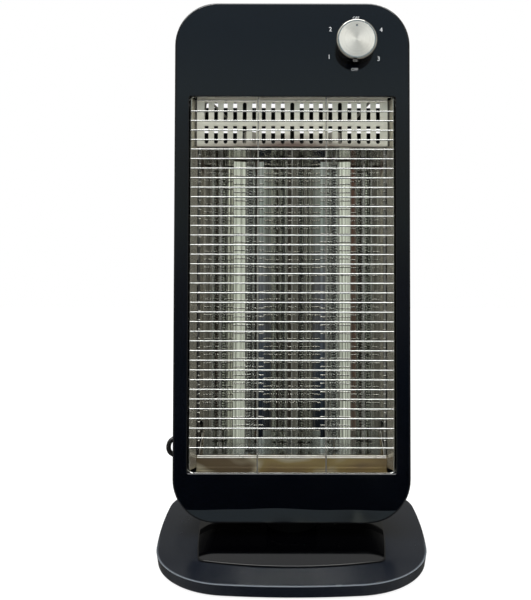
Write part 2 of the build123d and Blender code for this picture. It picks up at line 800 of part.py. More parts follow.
# Brackets that close the troughs and hold the tube ends
tube_y = trough_back_y - tube_ahead
for name, low, front in (
    ("lower_bracket", bracket_low, strip_y + sheet),
    ("upper_bracket", bracket_top, vent_y + sheet),
):
    with BuildPart() as bracket:
        with BuildSketch(Plane.XY.offset(low)):
            with Locations((0, (front + bracket_back) / 2)):
                Rectangle(bracket_width, bracket_back - front)
            with Locations((-tube_x, tube_y), (tube_x, tube_y)):
                Circle(tube_outer / 2 + seat_clear, mode=Mode.SUBTRACT)
        extrude(amount=sheet)
        # Stiffening lip along the rear edge, turned away from the troughs
        lip_low = low - bracket_lip if low == bracket_low else low
        with BuildSketch(Plane.XY.offset(lip_low)):
            with Locations((0, bracket_back - sheet / 2)):
                Rectangle(bracket_width, sheet)
        extrude(amount=bracket_lip + sheet)
    save(bracket, name)

# Quartz tubes, filaments, end caps and the supports inside the tube ends
coil_radius_in = (coil_outer - coil_wire) / 2
support_thick = 1.4
for side, name in ((-1, "left"), (1, "right")):
    x = side * tube_x
    with BuildPart() as quartz_tube:
        with BuildSketch(Plane.XY.offset(tube_low)):
            with Locations((x, tube_y)):
                Circle(tube_outer / 2)
                Circle(tube_outer / 2 - tube_wall, mode=Mode.SUBTRACT)
        extrude(amount=tube_high - tube_low)
    save(quartz_tube, f"{name}_quartz_tube")

    with BuildPart() as filament:
        with BuildLine() as filament_path:
            rise = coil_high - coil_low - 2 * (coil_bend + coil_wire)
            centre = (x, tube_y, coil_low + coil_bend + coil_wire)
            draw_helix(centre, coil_radius_in, rise, coil_turns, coil_bend, coil_wire)
        sweep_round(filament_path.line, coil_wire)
    save(filament, f"{name}_filament")

tube_places = [(-tube_x, tube_y), (tube_x, tube_y)]
with BuildPart() as filament_supports:
    for disc_low, rod_low, rod_high in (
        (coil_low - support_thick, tube_low - cap_seat, coil_low - support_thick),
        (coil_high, coil_high + support_thick, tube_high + cap_seat),
    ):
        with BuildSketch(Plane.XY.offset(disc_low)):
            with Locations(*tube_places):
                Circle(tube_outer / 2 - tube_wall - seat_clear)
        extrude(amount=support_thick)
        with BuildSketch(Plane.XY.offset(rod_low)):
            with Locations(*tube_places):
                Circle(coil_wire)
        extrude(amount=rod_high - rod_low)
save(filament_supports, "filament_supports")

for end, cap_mouth, away in (
    ("lower", bracket_low, -1),
    ("upper", bracket_top + sheet, 1),
):
    cap_tail = cap_mouth + away * cap_length
    with BuildPart() as end_caps:
        with BuildSketch(Plane.XY.offset(min(cap_mouth, cap_tail))):
            with Locations(*tube_places):
                Circle(cap_outer / 2)
        extrude(amount=cap_length)
        with BuildSketch(Plane.XY.offset(cap_mouth)):
            with Locations(*tube_places):
                Circle(cap_flange / 2)
        extrude(amount=away * cap_flange_thick)
        with BuildSketch(Plane.XY.offset(cap_mouth)):
            with Locations(*tube_places):
                Circle(tube_outer / 2 + seat_clear)
        extrude(amount=away * (cap_cover + cap_seat), mode=Mode.SUBTRACT)
    save(end_caps, f"{end}_end_caps")

marks = [helix_point((0, 0, 0), coil_radius_in, rise, coil_turns, i / 2000)[0] for i in range(220)]
print("filament: gap to itself", round(least_self_gap(marks, coil_wire, 30), 2))

# Thermal cut-out on the back of the right trough
cutout_y = trough_back_y + mirror_sheet
with BuildPart() as thermal_cutout:
    with BuildSketch(face_plane(cutout_y)):
        with Locations((trough_half, cutout_z)):
            SlotOverall(cutout_flange, cutout_dia, rotation=90)
    extrude(amount=-sheet)
    with BuildSketch(face_plane(cutout_y)):
        with Locations((trough_half, cutout_z)):
            Circle(cutout_dia / 2)
    extrude(amount=-cutout_deep)
    with BuildSketch(face_plane(cutout_y + cutout_deep)):
        with Locations((trough_half - tab_apart / 2, cutout_z), (trough_half + tab_apart / 2, cutout_z)):
            Rectangle(tab_thick, tab_wide)
    extrude(amount=-tab_long)
save(thermal_cutout, "thermal_cutout")

# Rotary switch behind the panel, its nut, and the knob on its shaft
switch_back = panel_back + switch_deep
knob_back = casing_front - knob_gap
knob_front = knob_back - knob_height
nut_front = casing_front - switch_nut_thick
hollow_end = knob_back - knob_hollow_deep
with BuildPart() as rotary_switch:
    with BuildSketch(face_plane(panel_back)):
        with Locations((knob_x, knob_z)):
            RectangleRounded(switch_side, switch_side, 3)
    extrude(amount=-switch_deep)
    with BuildSketch(face_plane(panel_back)):
        with Locations((knob_x, knob_z)):
            Circle(bushing_dia / 2)
    extrude(amount=casing_wall + bushing_long)
    with BuildSketch(face_plane(switch_back)):
        with Locations((knob_x, knob_z)):
            with GridLocations(0, 8, 1, 4):
                Rectangle(6.3, 0.8)
    extrude(amount=-7.0)
    with BuildSketch(face_plane(casing_front - bushing_long)):
        with Locations((knob_x, knob_z)):
            Circle(shaft_dia / 2 + run_clear)
    extrude(amount=-(bushing_long + casing_wall + shaft_in_switch), mode=Mode.SUBTRACT)
save(rotary_switch, "rotary_switch")

with BuildPart() as switch_nut:
    with BuildSketch(face_plane(casing_front)):
        with Locations((knob_x, knob_z)):
            RegularPolygon(switch_nut_flats / 2, 6, major_radius=False)
            Circle(bushing_dia / 2 + seat_clear, mode=Mode.SUBTRACT)
    extrude(amount=switch_nut_thick)
save(switch_nut, "switch_nut")

with BuildPart() as switch_shaft:
    with BuildSketch(face_plane(panel_back + shaft_in_switch - face_gap)):
        with Locations((knob_x, knob_z)):
            Circle(shaft_dia / 2)
    extrude(amount=panel_back + shaft_in_switch - face_gap - (knob_front + knob_cap_thick))
save(switch_shaft, "switch_shaft")

with BuildPart() as knob:
    with BuildSketch(face_plane(knob_back)):
        with Locations((knob_x, knob_z)):
            Circle(knob_dia / 2)
    extrude(amount=knob_height)
    chamfer(knob.edges().filter_by(GeomType.CIRCLE).sort_by(Axis.Y)[0], knob_rim_bevel)
    fillet(knob.edges().filter_by(GeomType.CIRCLE).sort_by(Axis.Y)[-1], knob_round)
    with BuildSketch(face_plane(knob_back)):
        with Locations((knob_x, knob_z)):
            Circle(knob_hollow_dia / 2)
            Circle(knob_hub_dia / 2, mode=Mode.SUBTRACT)
    extrude(amount=knob_hollow_deep, mode=Mode.SUBTRACT)
    # The hub stands back from the switch's nut
    with BuildSketch(face_plane(knob_back)):
        with Locations((knob_x, knob_z)):
            Circle(knob_hub_dia / 2)
    extrude(amount=bushing_long - knob_gap + face_gap, mode=Mode.SUBTRACT)
    with BuildSketch(face_plane(knob_back)):
        with Locations((knob_x, knob_z)):
            Circle(shaft_dia / 2 + seat_clear)
    extrude(amount=knob_height - knob_cap_thick, mode=Mode.SUBTRACT)
    with BuildSketch(face_plane(knob_front)):
        with Locations((knob_x, knob_z)):
            Circle(knob_face_dia / 2)
    extrude(amount=-knob_face_inset, mode=Mode.SUBTRACT)
save(knob, "knob")

with BuildPart() as knob_face:
    with BuildSketch(face_plane(knob_front)):
        with Locations((knob_x, knob_z)):
            Circle(knob_face_dia / 2 - seat_clear)
        with Locations((knob_x, knob_z + knob_dot_at)):
            Circle(knob_dot_dia / 2, mode=Mode.SUBTRACT)
    extrude(amount=-knob_face_inset)
save(knob_face, "knob_face")


def egg_outline(front, back, corner_half, corner_back, widest, half, rear_half, rear_bow, rounds):
    """Oval of four bowed sides with rounded corners, front edge towards -Y, on one sketch."""
    front_round, rear_round = rounds
    front_left, front_right = (-corner_half, front + corner_back), (corner_half, front + corner_back)
    rear_left, rear_right = (-rear_half, back - rear_bow), (rear_half, back - rear_bow)
    with BuildSketch(Plane.XY) as outline:
        with BuildLine():
            ThreePointArc(front_left, (0, front), front_right)
            ThreePointArc(front_right, (half, widest), rear_right)
            ThreePointArc(rear_right, (0, back), rear_left)
            ThreePointArc(rear_left, (-half, widest), front_left)
        make_face()
        ends = outline.vertices().group_by(Axis.Y)
        fillet(ends[0], front_round)
        fillet(outline.vertices().group_by(Axis.Y)[-1], rear_round)
    return outline.sketch


def base_outline(inset):
    """The base's plan, drawn in by an inset."""
    return egg_outline(
        base_front + inset,
        base_back - inset,
        base_corner_half - inset,
        base_corner_back,
        base_widest,
        base_width / 2 - inset,
        base_rear_half - inset,
        base_rear_bow,
        (base_front_round - inset, base_rear_round - inset),
    )


def deck_outline(inset):
    """The raised deck's plan, drawn in by an inset."""
    return egg_outline(
        deck_front + inset,
        deck_back - inset,
        deck_front_half - inset,
        deck_bow,
        base_widest,
        deck_rear_half - inset,
        deck_rear_half - inset - 1.0,
        deck_bow / 3,
        (deck_corner - inset, 4 * deck_corner - inset),
    )


# Hollow of the base, with posts left standing for the base plate's screws
base_screw_places = [
    (side * x, y)
    for side in (-1, 1)
    for x, y in (
        (base_corner_half - base_screw_front_in[0], base_front + base_screw_front_in[1]),
        (base_width / 2 - base_screw_side_in, base_screw_side_y[0]),
        (base_width / 2 - base_screw_side_in, base_screw_side_y[1]),
        (base_rear_half - base_screw_rear_in[0], base_back - base_screw_rear_in[1]),
    )
]
plate_top = base_plate_low + base_plate_thick
roof_low = deck_low - base_wall
with BuildPart() as base_hollow:
    add(base_outline(base_rim_inset + base_wall).moved(Location((0, 0, base_rim_low))))
    add(base_outline(base_wall).moved(Location((0, 0, base_rim_high - base_wall))))
    loft(ruled=True)
    add(base_outline(base_wall).moved(Location((0, 0, base_rim_high - base_wall))))
    add(deck_outline(0).moved(Location((0, 0, roof_low))))
    loft(ruled=True)
    with BuildSketch(Plane.XY.offset(plate_top)):
        with Locations(*base_screw_places):
            Circle(boss_dia / 2)
    extrude(amount=deck_low, mode=Mode.SUBTRACT)

with BuildPart() as base_top:
    # Upright rim, then a sloping shoulder up to the deck
    add(base_outline(base_rim_inset).moved(Location((0, 0, base_rim_low))))
    add(base_outline(0).moved(Location((0, 0, base_rim_high))))
    loft(ruled=True)
    add(base_outline(0).moved(Location((0, 0, base_rim_high))))
    add(deck_outline(0).moved(Location((0, 0, deck_low))))
    loft(ruled=True)
    add(base_hollow.part, mode=Mode.SUBTRACT)
    with Locations((0, 0, roof_low)):
        Cylinder(post_dia / 2 + seat_clear, base_wall, align=upward, mode=Mode.SUBTRACT)
        with PolarLocations(post_screw_ring, 4, start_angle=45):
            Cylinder(screw_dia / 2 + seat_clear, base_wall, align=upward, mode=Mode.SUBTRACT)
    with Locations(*[(x, y, plate_top) for x, y in base_screw_places]):
        Cylinder(screw_dia / 2 + seat_clear, base_screw_long, align=upward, mode=Mode.SUBTRACT)
save(base_top, "base_top")

with BuildPart() as base_deck:
    add(deck_outline(deck_edge_gap).moved(Location((0, 0, deck_low))))
    extrude(amount=deck_high - deck_low)
    fillet(base_deck.edges().group_by(Axis.Z)[-1], deck_round)
    with Locations((0, 0, deck_low)):
        Cylinder(post_dia / 2 + seat_clear, 9, align=upward, mode=Mode.SUBTRACT)
        with PolarLocations(post_screw_ring, 4, start_angle=45):
            Cylinder(screw_dia / 2 + seat_clear, 9, align=upward, mode=Mode.SUBTRACT)
save(base_deck, "base_deck")

# Swing bearing: collar, post, washer, bush and the ring and nut that hold the casing down
collar_top = casing_lift - face_gap - washer_thick
with BuildPart() as swivel_collar:
    with BuildSketch(Plane.XY.offset(deck_high)):
        Circle(collar_dia / 2)
        Circle(post_dia / 2 + seat_clear, mode=Mode.SUBTRACT)
    extrude(amount=collar_top - deck_high)
    chamfer(swivel_collar.edges().group_by(Axis.Z)[-1].sort_by(SortBy.LENGTH)[-1], 1.0)
    with Locations((0, 0, deck_high)):
        with PolarLocations(post_screw_ring, 4, start_angle=45):
            Cylinder(screw_dia / 2 + seat_clear, collar_screw_deep, align=upward, mode=Mode.SUBTRACT)
save(swivel_collar, "swivel_collar")

post_low = roof_low - post_flange_thick
with BuildPart() as swivel_post:
    with BuildSketch(Plane.XY.offset(post_low)):
        Circle(post_flange_dia / 2)
        with PolarLocations(post_screw_ring, 4, start_angle=45):
            Circle(screw_dia / 2 + seat_clear, mode=Mode.SUBTRACT)
    extrude(amount=post_flange_thick)
    with BuildSketch(Plane.XY.offset(post_low)):
        Circle(post_dia / 2)
    extrude(amount=post_top - post_low)
    with BuildSketch(Plane.XY.offset(post_low)):
        Circle(post_bore / 2)
    extrude(amount=post_top - post_low, mode=Mode.SUBTRACT)
save(swivel_post, "swivel_post")

with BuildPart() as post_screws:
    ring = [radians(45 + 90 * i) for i in range(4)]
    places = [(post_screw_ring * cos(a), post_screw_ring * sin(a), post_low) for a in ring]
    long = deck_high + collar_screw_deep - face_gap - post_low
    add_screws(places, (180, 0, 0), screw_dia, long, screw_head_dia, screw_head_tall)
save(post_screws, "post_screws")

with BuildPart() as swivel_washer:
    with BuildSketch(Plane.XY.offset(collar_top)):
        Circle(washer_dia / 2)
        Circle(post_dia / 2 + seat_clear, mode=Mode.SUBTRACT)
    extrude(amount=washer_thick)
save(swivel_washer, "swivel_washer")

support_top = floor_in + plate_thick
bush_top = support_top + bush_flange_thick
with BuildPart() as support_plate:
    with BuildSketch(Plane.XY.offset(floor_in)):
        with Locations(((plate_left + plate_right) / 2, (plate_front + plate_back) / 2)):
            RectangleRounded(plate_right - plate_left, plate_back - plate_front, plate_corner)
        Circle(bush_dia / 2 + seat_clear, mode=Mode.SUBTRACT)
        with Locations(*support_screw_places, *motor_screw_places):
            Circle(screw_dia / 2 + seat_clear, mode=Mode.SUBTRACT)
    extrude(amount=plate_thick)
save(support_plate, "support_plate")

with BuildPart() as support_screws:
    places = [(x, y, support_top) for x, y in support_screw_places]
    long = support_top - casing_lift - face_gap
    add_screws(places, (0, 0, 0), screw_dia, long, screw_head_dia, screw_head_tall)
save(support_screws, "support_screws")

with BuildPart() as swivel_bush:
    with BuildSketch(Plane.XY.offset(casing_lift)):
        Circle(bush_dia / 2)
    extrude(amount=bush_top - casing_lift)
    with BuildSketch(Plane.XY.offset(support_top)):
        Circle(bush_flange_dia / 2)
    extrude(amount=bush_flange_thick)
    with BuildSketch(Plane.XY.offset(casing_lift)):
        Circle(post_dia / 2 + run_clear)
    extrude(amount=bush_top - casing_lift, mode=Mode.SUBTRACT)
save(swivel_bush, "swivel_bush")

ring_low = bush_top + face_gap
with BuildPart() as retaining_ring:
    with BuildSketch(Plane.XY.offset(ring_low)):
        Circle(ring_dia / 2)
        Circle(post_dia / 2 + seat_clear, mode=Mode.SUBTRACT)
    extrude(amount=ring_thick)
save(retaining_ring, "retaining_ring")

nut_low = ring_low + ring_thick
with BuildPart() as retaining_nut:
    with BuildSketch(Plane.XY.offset(nut_low)):
        RegularPolygon(nut_flats / 2, 6, major_radius=False)
        Circle(post_dia / 2 + seat_clear, mode=Mode.SUBTRACT)
    extrude(amount=nut_thick)
save(retaining_nut, "retaining_nut")

# Swing drive: the motor turns a crank, and a link ties the crank to an arm on the fixed post
link_length = sqrt(motor_x**2 + crank_reach**2 - arm_reach**2)
cos_far = (arm_reach**2 + motor_x**2 - (link_length + crank_reach) ** 2) / (2 * arm_reach * motor_x)
cos_near = (arm_reach**2 + motor_x**2 - (link_length - crank_reach) ** 2) / (2 * arm_reach * motor_x)
arm_angle = (acos(cos_far) + acos(cos_near)) / 2
swing_half = (acos(cos_far) - acos(cos_near)) / 2
arm_end = Vector(arm_reach * cos(arm_angle), arm_reach * sin(arm_angle))
motor_centre = Vector(motor_x, 0)
arm_from_motor = arm_end - motor_centre
span = arm_from_motor.length
cos_crank = (crank_reach**2 + span**2 - link_length**2) / (2 * crank_reach * span)
crank_angle = atan2(arm_from_motor.Y, arm_from_motor.X) - acos(cos_crank)
crank_end = motor_centre + Vector(crank_reach * cos(crank_angle), crank_reach * sin(crank_angle))
print("swing half angle", round(degrees(swing_half), 2), "crank pin", crank_end, "arm pin", arm_end)

motor_top = support_top + motor_tall
crank_low = motor_top + 1.5
crank_top = crank_low + crank_thick
link_low = crank_top + 0.5
arm_low = nut_low + nut_thick
with BuildPart() as swing_motor:
    with BuildSketch(Plane.XY.offset(support_top)):
        with Locations((motor_x, 0)):
            Circle(motor_dia / 2)
    extrude(amount=motor_tall)
    fillet(swing_motor.edges().group_by(Axis.Z)[-1], motor_round)
    with BuildSketch(Plane.XY.offset(support_top)):
        with Locations((motor_x, 0)):
            SlotOverall(motor_ear_span + 2 * motor_ear_end, motor_ear_wide, rotation=90)
        with Locations(*motor_screw_places):
            Circle(screw_dia / 2 + seat_clear, mode=Mode.SUBTRACT)
    extrude(amount=plate_thick)
    with BuildSketch(Plane.XY.offset(motor_top)):
        with Locations((motor_x, 0)):
            Circle(motor_shaft_dia / 2 + run_clear)
    extrude(amount=-motor_shaft_in, mode=Mode.SUBTRACT)
save(swing_motor, "swing_motor")

with BuildPart() as motor_screws:
    places = [(x, y, support_top + plate_thick) for x, y in motor_screw_places]
    long = support_top + plate_thick - casing_lift - face_gap
    add_screws(places, (0, 0, 0), screw_dia, long, screw_head_dia, screw_head_tall)
save(motor_screws, "motor_screws")

with BuildPart() as motor_shaft:
    with BuildSketch(Plane.XY.offset(motor_top - motor_shaft_in + face_gap)):
        with Locations((motor_x, 0)):
            Circle(motor_shaft_dia / 2)
    extrude(amount=motor_shaft_in - face_gap + crank_top - motor_top)
save(motor_shaft, "motor_shaft")

with BuildPart() as crank:
    with BuildSketch(Plane.XY.offset(crank_low)):
        with Locations(Location((motor_x, 0, 0), (0, 0, degrees(crank_angle)))):
            with Locations((crank_reach / 2, 0)):
                SlotCenterToCenter(crank_reach, crank_width)
        with Locations((motor_x, 0)):
            Circle(motor_shaft_dia / 2 + seat_clear, mode=Mode.SUBTRACT)
        with Locations(crank_end):
            Circle(crank_pin_dia / 2 + seat_clear, mode=Mode.SUBTRACT)
    extrude(amount=crank_thick)
save(crank, "crank")

with BuildPart() as crank_pin:
    with BuildSketch(Plane.XY.offset(crank_low)):
        with Locations(crank_end):
            Circle(crank_pin_dia / 2)
    extrude(amount=link_low + link_thick + face_gap - crank_low)
    with BuildSketch(Plane.XY.offset(link_low + link_thick + face_gap)):
        with Locations(crank_end):
            Circle(crank_pin_dia / 2 + pin_head_over)
    extrude(amount=1.0)
save(crank_pin, "crank_pin")

with BuildPart() as swing_link:
    with BuildSketch(Plane.XY.offset(link_low)):
        link_mid = (crank_end + arm_end) / 2
        link_dir = arm_end - crank_end
        with Locations(Location((link_mid.X, link_mid.Y, 0), (0, 0, degrees(atan2(link_dir.Y, link_dir.X))))):
            SlotCenterToCenter(link_length, link_width)
        with Locations(crank_end):
            Circle(crank_pin_dia / 2 + run_clear, mode=Mode.SUBTRACT)
        with Locations(arm_end):
            Circle(arm_pin_dia / 2 + run_clear, mode=Mode.SUBTRACT)
    extrude(amount=link_thick)
save(swing_link, "swing_link")

with BuildPart() as swing_arm:
    with BuildSketch(Plane.XY.offset(arm_low)):
        Circle(post_dia / 2 + 4.0)
        with Locations(Location((0, 0, 0), (0, 0, degrees(arm_angle)))):
            with Locations((arm_reach / 2, 0)):
                SlotCenterToCenter(arm_reach, arm_pin_dia + 6.0)
        Circle(post_dia / 2 + seat_clear, mode=Mode.SUBTRACT)
    extrude(amount=arm_thick)
    with BuildSketch(Plane.XY.offset(arm_low)):
        with Locations(arm_end):
            Circle(arm_pin_dia / 2)
    extrude(amount=link_low - face_gap - arm_low)
save(swing_arm, "swing_arm")

# Base plate, its screws and the rubber feet
with BuildPart() as base_plate:
    add(base_outline(base_plate_inset).moved(Location((0, 0, base_plate_low))))
    extrude(amount=base_plate_thick)
    with Locations(*[(x, y, base_plate_low) for x, y in base_screw_places]):
        Cylinder(screw_dia / 2 + seat_clear, 9, align=upward, mode=Mode.SUBTRACT)
    with Locations((tip_x, tip_y, base_plate_low)):
        Cylinder(tip_foot_dia / 2 + run_clear, 9, align=upward, mode=Mode.SUBTRACT)
save(base_plate, "base_plate")

with BuildPart() as base_screws:
    places = [(x, y, base_plate_low) for x, y in base_screw_places]
    long = plate_top + base_screw_long - face_gap - base_plate_low
    add_screws(places, (180, 0, 0), screw_dia, long, screw_head_dia, base_screw_head_tall)
save(base_screws, "base_screws")

foot_places = [(side * x, y) for side in (-1, 1) for x, y in (foot_front, foot_rear)]
with BuildPart() as feet:
    with BuildSketch(Plane.XY):
        with Locations(*foot_places):
            Circle(foot_dia / 2)
    extrude(amount=base_plate_low)
    chamfer(feet.edges().group_by(Axis.Z)[0], foot_bevel)
save(feet, "feet")

# Tip-over switch: a sprung plunger under the base that the floor holds up
tip_flange_low = plate_top + tip_travel + face_gap
tip_flange_top = tip_flange_low + tip_flange_thick
with BuildPart() as tip_plunger:
    with BuildSketch(Plane.XY.offset(tip_foot_above)):
        with Locations((tip_x, tip_y)):
            Circle(tip_foot_dia / 2)
    extrude(amount=tip_flange_low - tip_foot_above)
    with BuildSketch(Plane.XY.offset(tip_flange_low)):
        with Locations((tip_x, tip_y)):
            Circle(tip_flange_dia / 2)
    extrude(amount=tip_flange_thick)
    with BuildSketch(Plane.XY.offset(tip_flange_low)):
        with Locations((tip_x, tip_y)):
            Circle(tip_stem_dia / 2)
    extrude(amount=roof_low - 2.0 - tip_flange_low)
    fillet(tip_plunger.edges().group_by(Axis.Z)[0], tip_round)
save(tip_plunger, "tip_plunger")

spring_low = tip_flange_top
spring_rise = roof_low - spring_low - 2 * (spring_bend + spring_wire)
with BuildPart() as tip_spring:
    with BuildLine() as spring_path:
        spring_centre = (tip_x, tip_y, spring_low + spring_bend + spring_wire)
        spring_radius = (spring_outer - spring_wire) / 2
        draw_helix(spring_centre, spring_radius, spring_rise, spring_turns, spring_bend, spring_wire)
    sweep_round(spring_path.line, spring_wire)
save(tip_spring, "tip_spring")
print("tip spring: gap between turns", round(spring_rise / spring_turns - spring_wire, 2))

with BuildPart() as tip_switch:
    switch_x = tip_x + tip_flange_dia / 2 + face_gap + switch_long / 2
    with Locations((switch_x, tip_y, roof_low)):
        Box(switch_long, switch_wide, switch_tall, align=downward)
    # Lever that reaches over the plunger's flange
    lever_reach = tip_flange_dia / 2 - spring_outer / 2
    with Locations((tip_x + spring_outer / 2 + face_gap, tip_y, tip_flange_top + face_gap)):
        Box(lever_reach + lever_root, lever_wide, lever_thick, align=(Align.MIN, Align.CENTER, Align.MIN))
    stem_tall = roof_low - switch_tall - tip_flange_top + stem_in
    with Locations((tip_x + tip_flange_dia / 2 + lever_root / 2, tip_y, tip_flange_top + face_gap)):
        Box(stem_thick, lever_wide, stem_tall, align=upward)
save(tip_switch, "tip_switch")

# Terminal block on the rear cover, and the leads inside the casing
block_y = casing_back - casing_wall
with BuildPart() as terminal_block:
    with BuildSketch(face_plane(block_y)):
        with Locations((block_x, block_z)):
            Rectangle(block_long, block_tall)
    extrude(amount=block_deep)
    with BuildSketch(face_plane(block_y - block_deep)):
        with Locations((block_x, block_z)):
            with GridLocations(block_long / 3, block_tall / 2, 3, 2):
                Circle(1.8)
    extrude(amount=-5.0, mode=Mode.SUBTRACT)
save(terminal_block, "terminal_block")

upper_cap_tail = bracket_top + sheet + cap_length
lower_cap_tail = bracket_low - cap_length
lead_routes = [
    # From the left tube's top to the switch
    (
        (-tube_x, tube_y, upper_cap_tail),
        (-tube_x, tube_y, upper_cap_tail + 14.0),
        (-tube_x - 25.0, tube_y + 22.0, upper_cap_tail + 20.0),
        (-tube_x - 52.0, tube_y + 28.0, upper_cap_tail + 48.0),
        (-tube_x - 40.0, tube_y + 15.0, upper_cap_tail + 100.0),
        (0.0, switch_back + 16.0, knob_z + 22.0),
        (knob_x - 22.0, switch_back + 22.0, knob_z + 12.0),
        (knob_x, switch_back + 20.0, knob_z + 12.0),
        (knob_x, switch_back + 7.0, knob_z + 12.0),
    ),
    # From the right tube's top to the switch
    (
        (tube_x, tube_y, upper_cap_tail),
        (tube_x, tube_y, upper_cap_tail + 14.0),
        (tube_x + 25.0, tube_y + 20.0, upper_cap_tail + 22.0),
        (tube_x + 52.0, tube_y + 20.0, upper_cap_tail + 52.0),
        (knob_x + 12.0, switch_back + 30.0, knob_z + 4.0),
        (knob_x, switch_back + 22.0, knob_z + 4.0),
        (knob_x, switch_back + 7.0, knob_z + 4.0),
    ),
    # Between the lower ends of the tubes
    (
        (-tube_x, tube_y, lower_cap_tail),
        (-tube_x, tube_y, lower_cap_tail - 9.0),
        (-tube_x + 24.0, tube_y + 6.0, lower_cap_tail - 14.0),
        (tube_x - 24.0, tube_y + 6.0, lower_cap_tail - 14.0),
        (tube_x, tube_y, lower_cap_tail - 9.0),
        (tube_x, tube_y, lower_cap_tail),
    ),
    # From the terminal block up to the switch
    (
        (block_x, block_y - block_deep, block_z + block_tall / 4),
        (block_x, block_y - block_deep - 9.0, block_z + block_tall / 4),
        (block_x - 24.0, block_y - 16.0, block_z + 40.0),
        (supply_x, supply_y, block_z + 90.0),
        (supply_x, supply_y + 3.0, window_mid),
        (supply_x, supply_y, slot_low),
        (supply_x + 10.0, supply_y, knob_z - 14.0),
        (-50.0, 10.0, knob_z + 24.0),
        (10.0, switch_back + 24.0, knob_z + 4.0),
        (knob_x - 26.0, switch_back + 24.0, knob_z - 4.0),
        (knob_x, switch_back + 21.0, knob_z - 4.0),
        (knob_x, switch_back + 7.0, knob_z - 4.0),
    ),
]
with BuildPart() as inner_leads:
    for route in lead_routes:
        with BuildLine() as lead_path:
            FilletPolyline(*route, radius=[min(r, lead_bend) for r in corner_radii(route)])
        sweep_round(lead_path.line, lead_dia)
save(inner_leads, "inner_leads")

# Strain relief: a ribbed taper with a flange inside the rear cover
relief_flange_y = casing_back - casing_wall
with BuildPart() as strain_relief:
    relief_frame = Plane(origin=(relief_x, 0, relief_z), x_dir=(1, 0, 0), z_dir=(0, 0, 1))
    taper = (relief_root_dia - relief_tip_dia) / 2 / relief_long
    outline = [
        (0, relief_flange_y - relief_flange_thick),
        (relief_flange_dia / 2, relief_flange_y - relief_flange_thick),
        (relief_flange_dia / 2, relief_flange_y),
        (relief_neck_dia / 2, relief_flange_y),
        (relief_neck_dia / 2, casing_back),
    ]
    rib_pitch = relief_long / relief_ribs
    for i in range(relief_ribs):
        for share, groove in ((0.0, 0.0), (0.62, 0.0), (0.62, relief_groove), (1.0, relief_groove)):
            along = (i + share) * rib_pitch
            if i == relief_ribs - 1:
                groove = 0.0
            outline.append((relief_root_dia / 2 - taper * along - groove, casing_back + along))
    outline.append((0, casing_back + relief_long))
    kept = [outline[0]] + [b for a, b in zip(outline, outline[1:]) if a != b]
    with BuildSketch(relief_frame):
        with BuildLine():
            Polyline(*kept, close=True)
        make_face()
    revolve(axis=Axis((relief_x, 0, relief_z), (0, 1, 0)))
save(strain_relief, "strain_relief")

# Mains cord: a small bight beside the casing, down to the floor behind the base, then a coil
cord_level = coil_lift + cord_dia / 2
layer_rise = cord_dia + 0.5
coil_start = (coil_centre[0] - coil_radius, coil_centre[1], cord_level)
cord_route = [
    (relief_x, casing_back + relief_long, relief_z),
    (relief_x, casing_back + relief_long + 19.0, relief_z),
    (-110.0, 101.0, relief_z),
    (-137.0, 103.0, relief_z),
    (-162.0, 95.0, relief_z),
    (-163.0, 92.0, 68.0),
    (-140.0, 98.0, 63.0),
    (-127.0, 115.0, 54.0),
    (-119.0, 136.0, 40.0),
    (-113.0, 158.0, 24.0),
    (-106.0, 182.0, 9.5),
    (coil_start[0], coil_start[1] - 28.0, cord_level),
    coil_start,
]
cord_radii = corner_radii(cord_route)
print("cord radii", [round(r, 1) for r in cord_radii])
with BuildPart() as cord_run:
    with BuildLine() as cord_path:
        FilletPolyline(*cord_route, radius=cord_radii)
    sweep_round(cord_path.line, cord_dia)
cord_run_length = sum(edge.length for edge in cord_path.edges())
section_area = pi * cord_dia**2 / 4
print("cord run", round(cord_run_length, 1), "by volume", round(cord_run.part.volume / section_area, 1))
save(cord_run, "cord_run")

# Coil: half turns that spiral in on the floor, climb a layer and spiral out again
half_turns = [coil_radius - coil_step / 4 - i * coil_step / 2 for i in range(5)]
climb_radius = half_turns[-1] - coil_step / 2
out_turns = [half_turns[-1] + share * coil_step for share in (0.0, 0.75, 1.25, 1.75)]
with BuildPart() as cord_coil:
    with BuildLine() as coil_path:
        here = Vector(coil_start)
        heading = Vector(0, 1, 0)
        side = 1
        for radius in half_turns:
            there = here + Vector(side * 2 * radius, 0, 0)
            arcs_between(here, heading, there, heading * -1)
            here, heading, side = there, heading * -1, -side
        there = here + Vector(side * 2 * climb_radius, 0, layer_rise)
        arcs_between(here, heading, there, heading * -1)
        here, heading, side = there, heading * -1, -side
        for radius in out_turns:
            there = here + Vector(side * 2 * radius, 0, 0)
            arcs_between(here, heading, there, heading * -1)
            here, heading, side = there, heading * -1, -side
        coil_end = here
    sweep_round(coil_path.line, cord_dia)
coil_edges = coil_path.edges()
coil_length = sum(edge.length for edge in coil_edges)
coil_marks = [edge @ (i / 24) for edge in coil_edges for i in range(24)]
print("cord coil", round(coil_length, 1), "by volume", round(cord_coil.part.volume / section_area, 1))
print("cord coil: gap to itself", round(least_self_gap(coil_marks, cord_dia, 30), 2))
save(cord_coil, "cord_coil")

# Tail from the coil to the plug
tail_route = [
    tuple(coil_end),
    (coil_end.X, coil_end.Y + 24.0, coil_end.Z + 0.4),
    (coil_end.X + 8.5, coil_end.Y + 47.0, plug_axis - 1.0),
    (coil_end.X + 29.0, coil_end.Y + 60.0, plug_axis),
    (coil_end.X + 52.0, coil_end.Y + 60.0, plug_axis),
]
tail_radii = corner_radii(tail_route)
print("tail radii", [round(r, 1) for r in tail_radii])
with BuildPart() as cord_tail:
    with BuildLine() as tail_path:
        FilletPolyline(*tail_route, radius=tail_radii)
    sweep_round(tail_path.line, cord_dia)
save(cord_tail, "cord_tail")

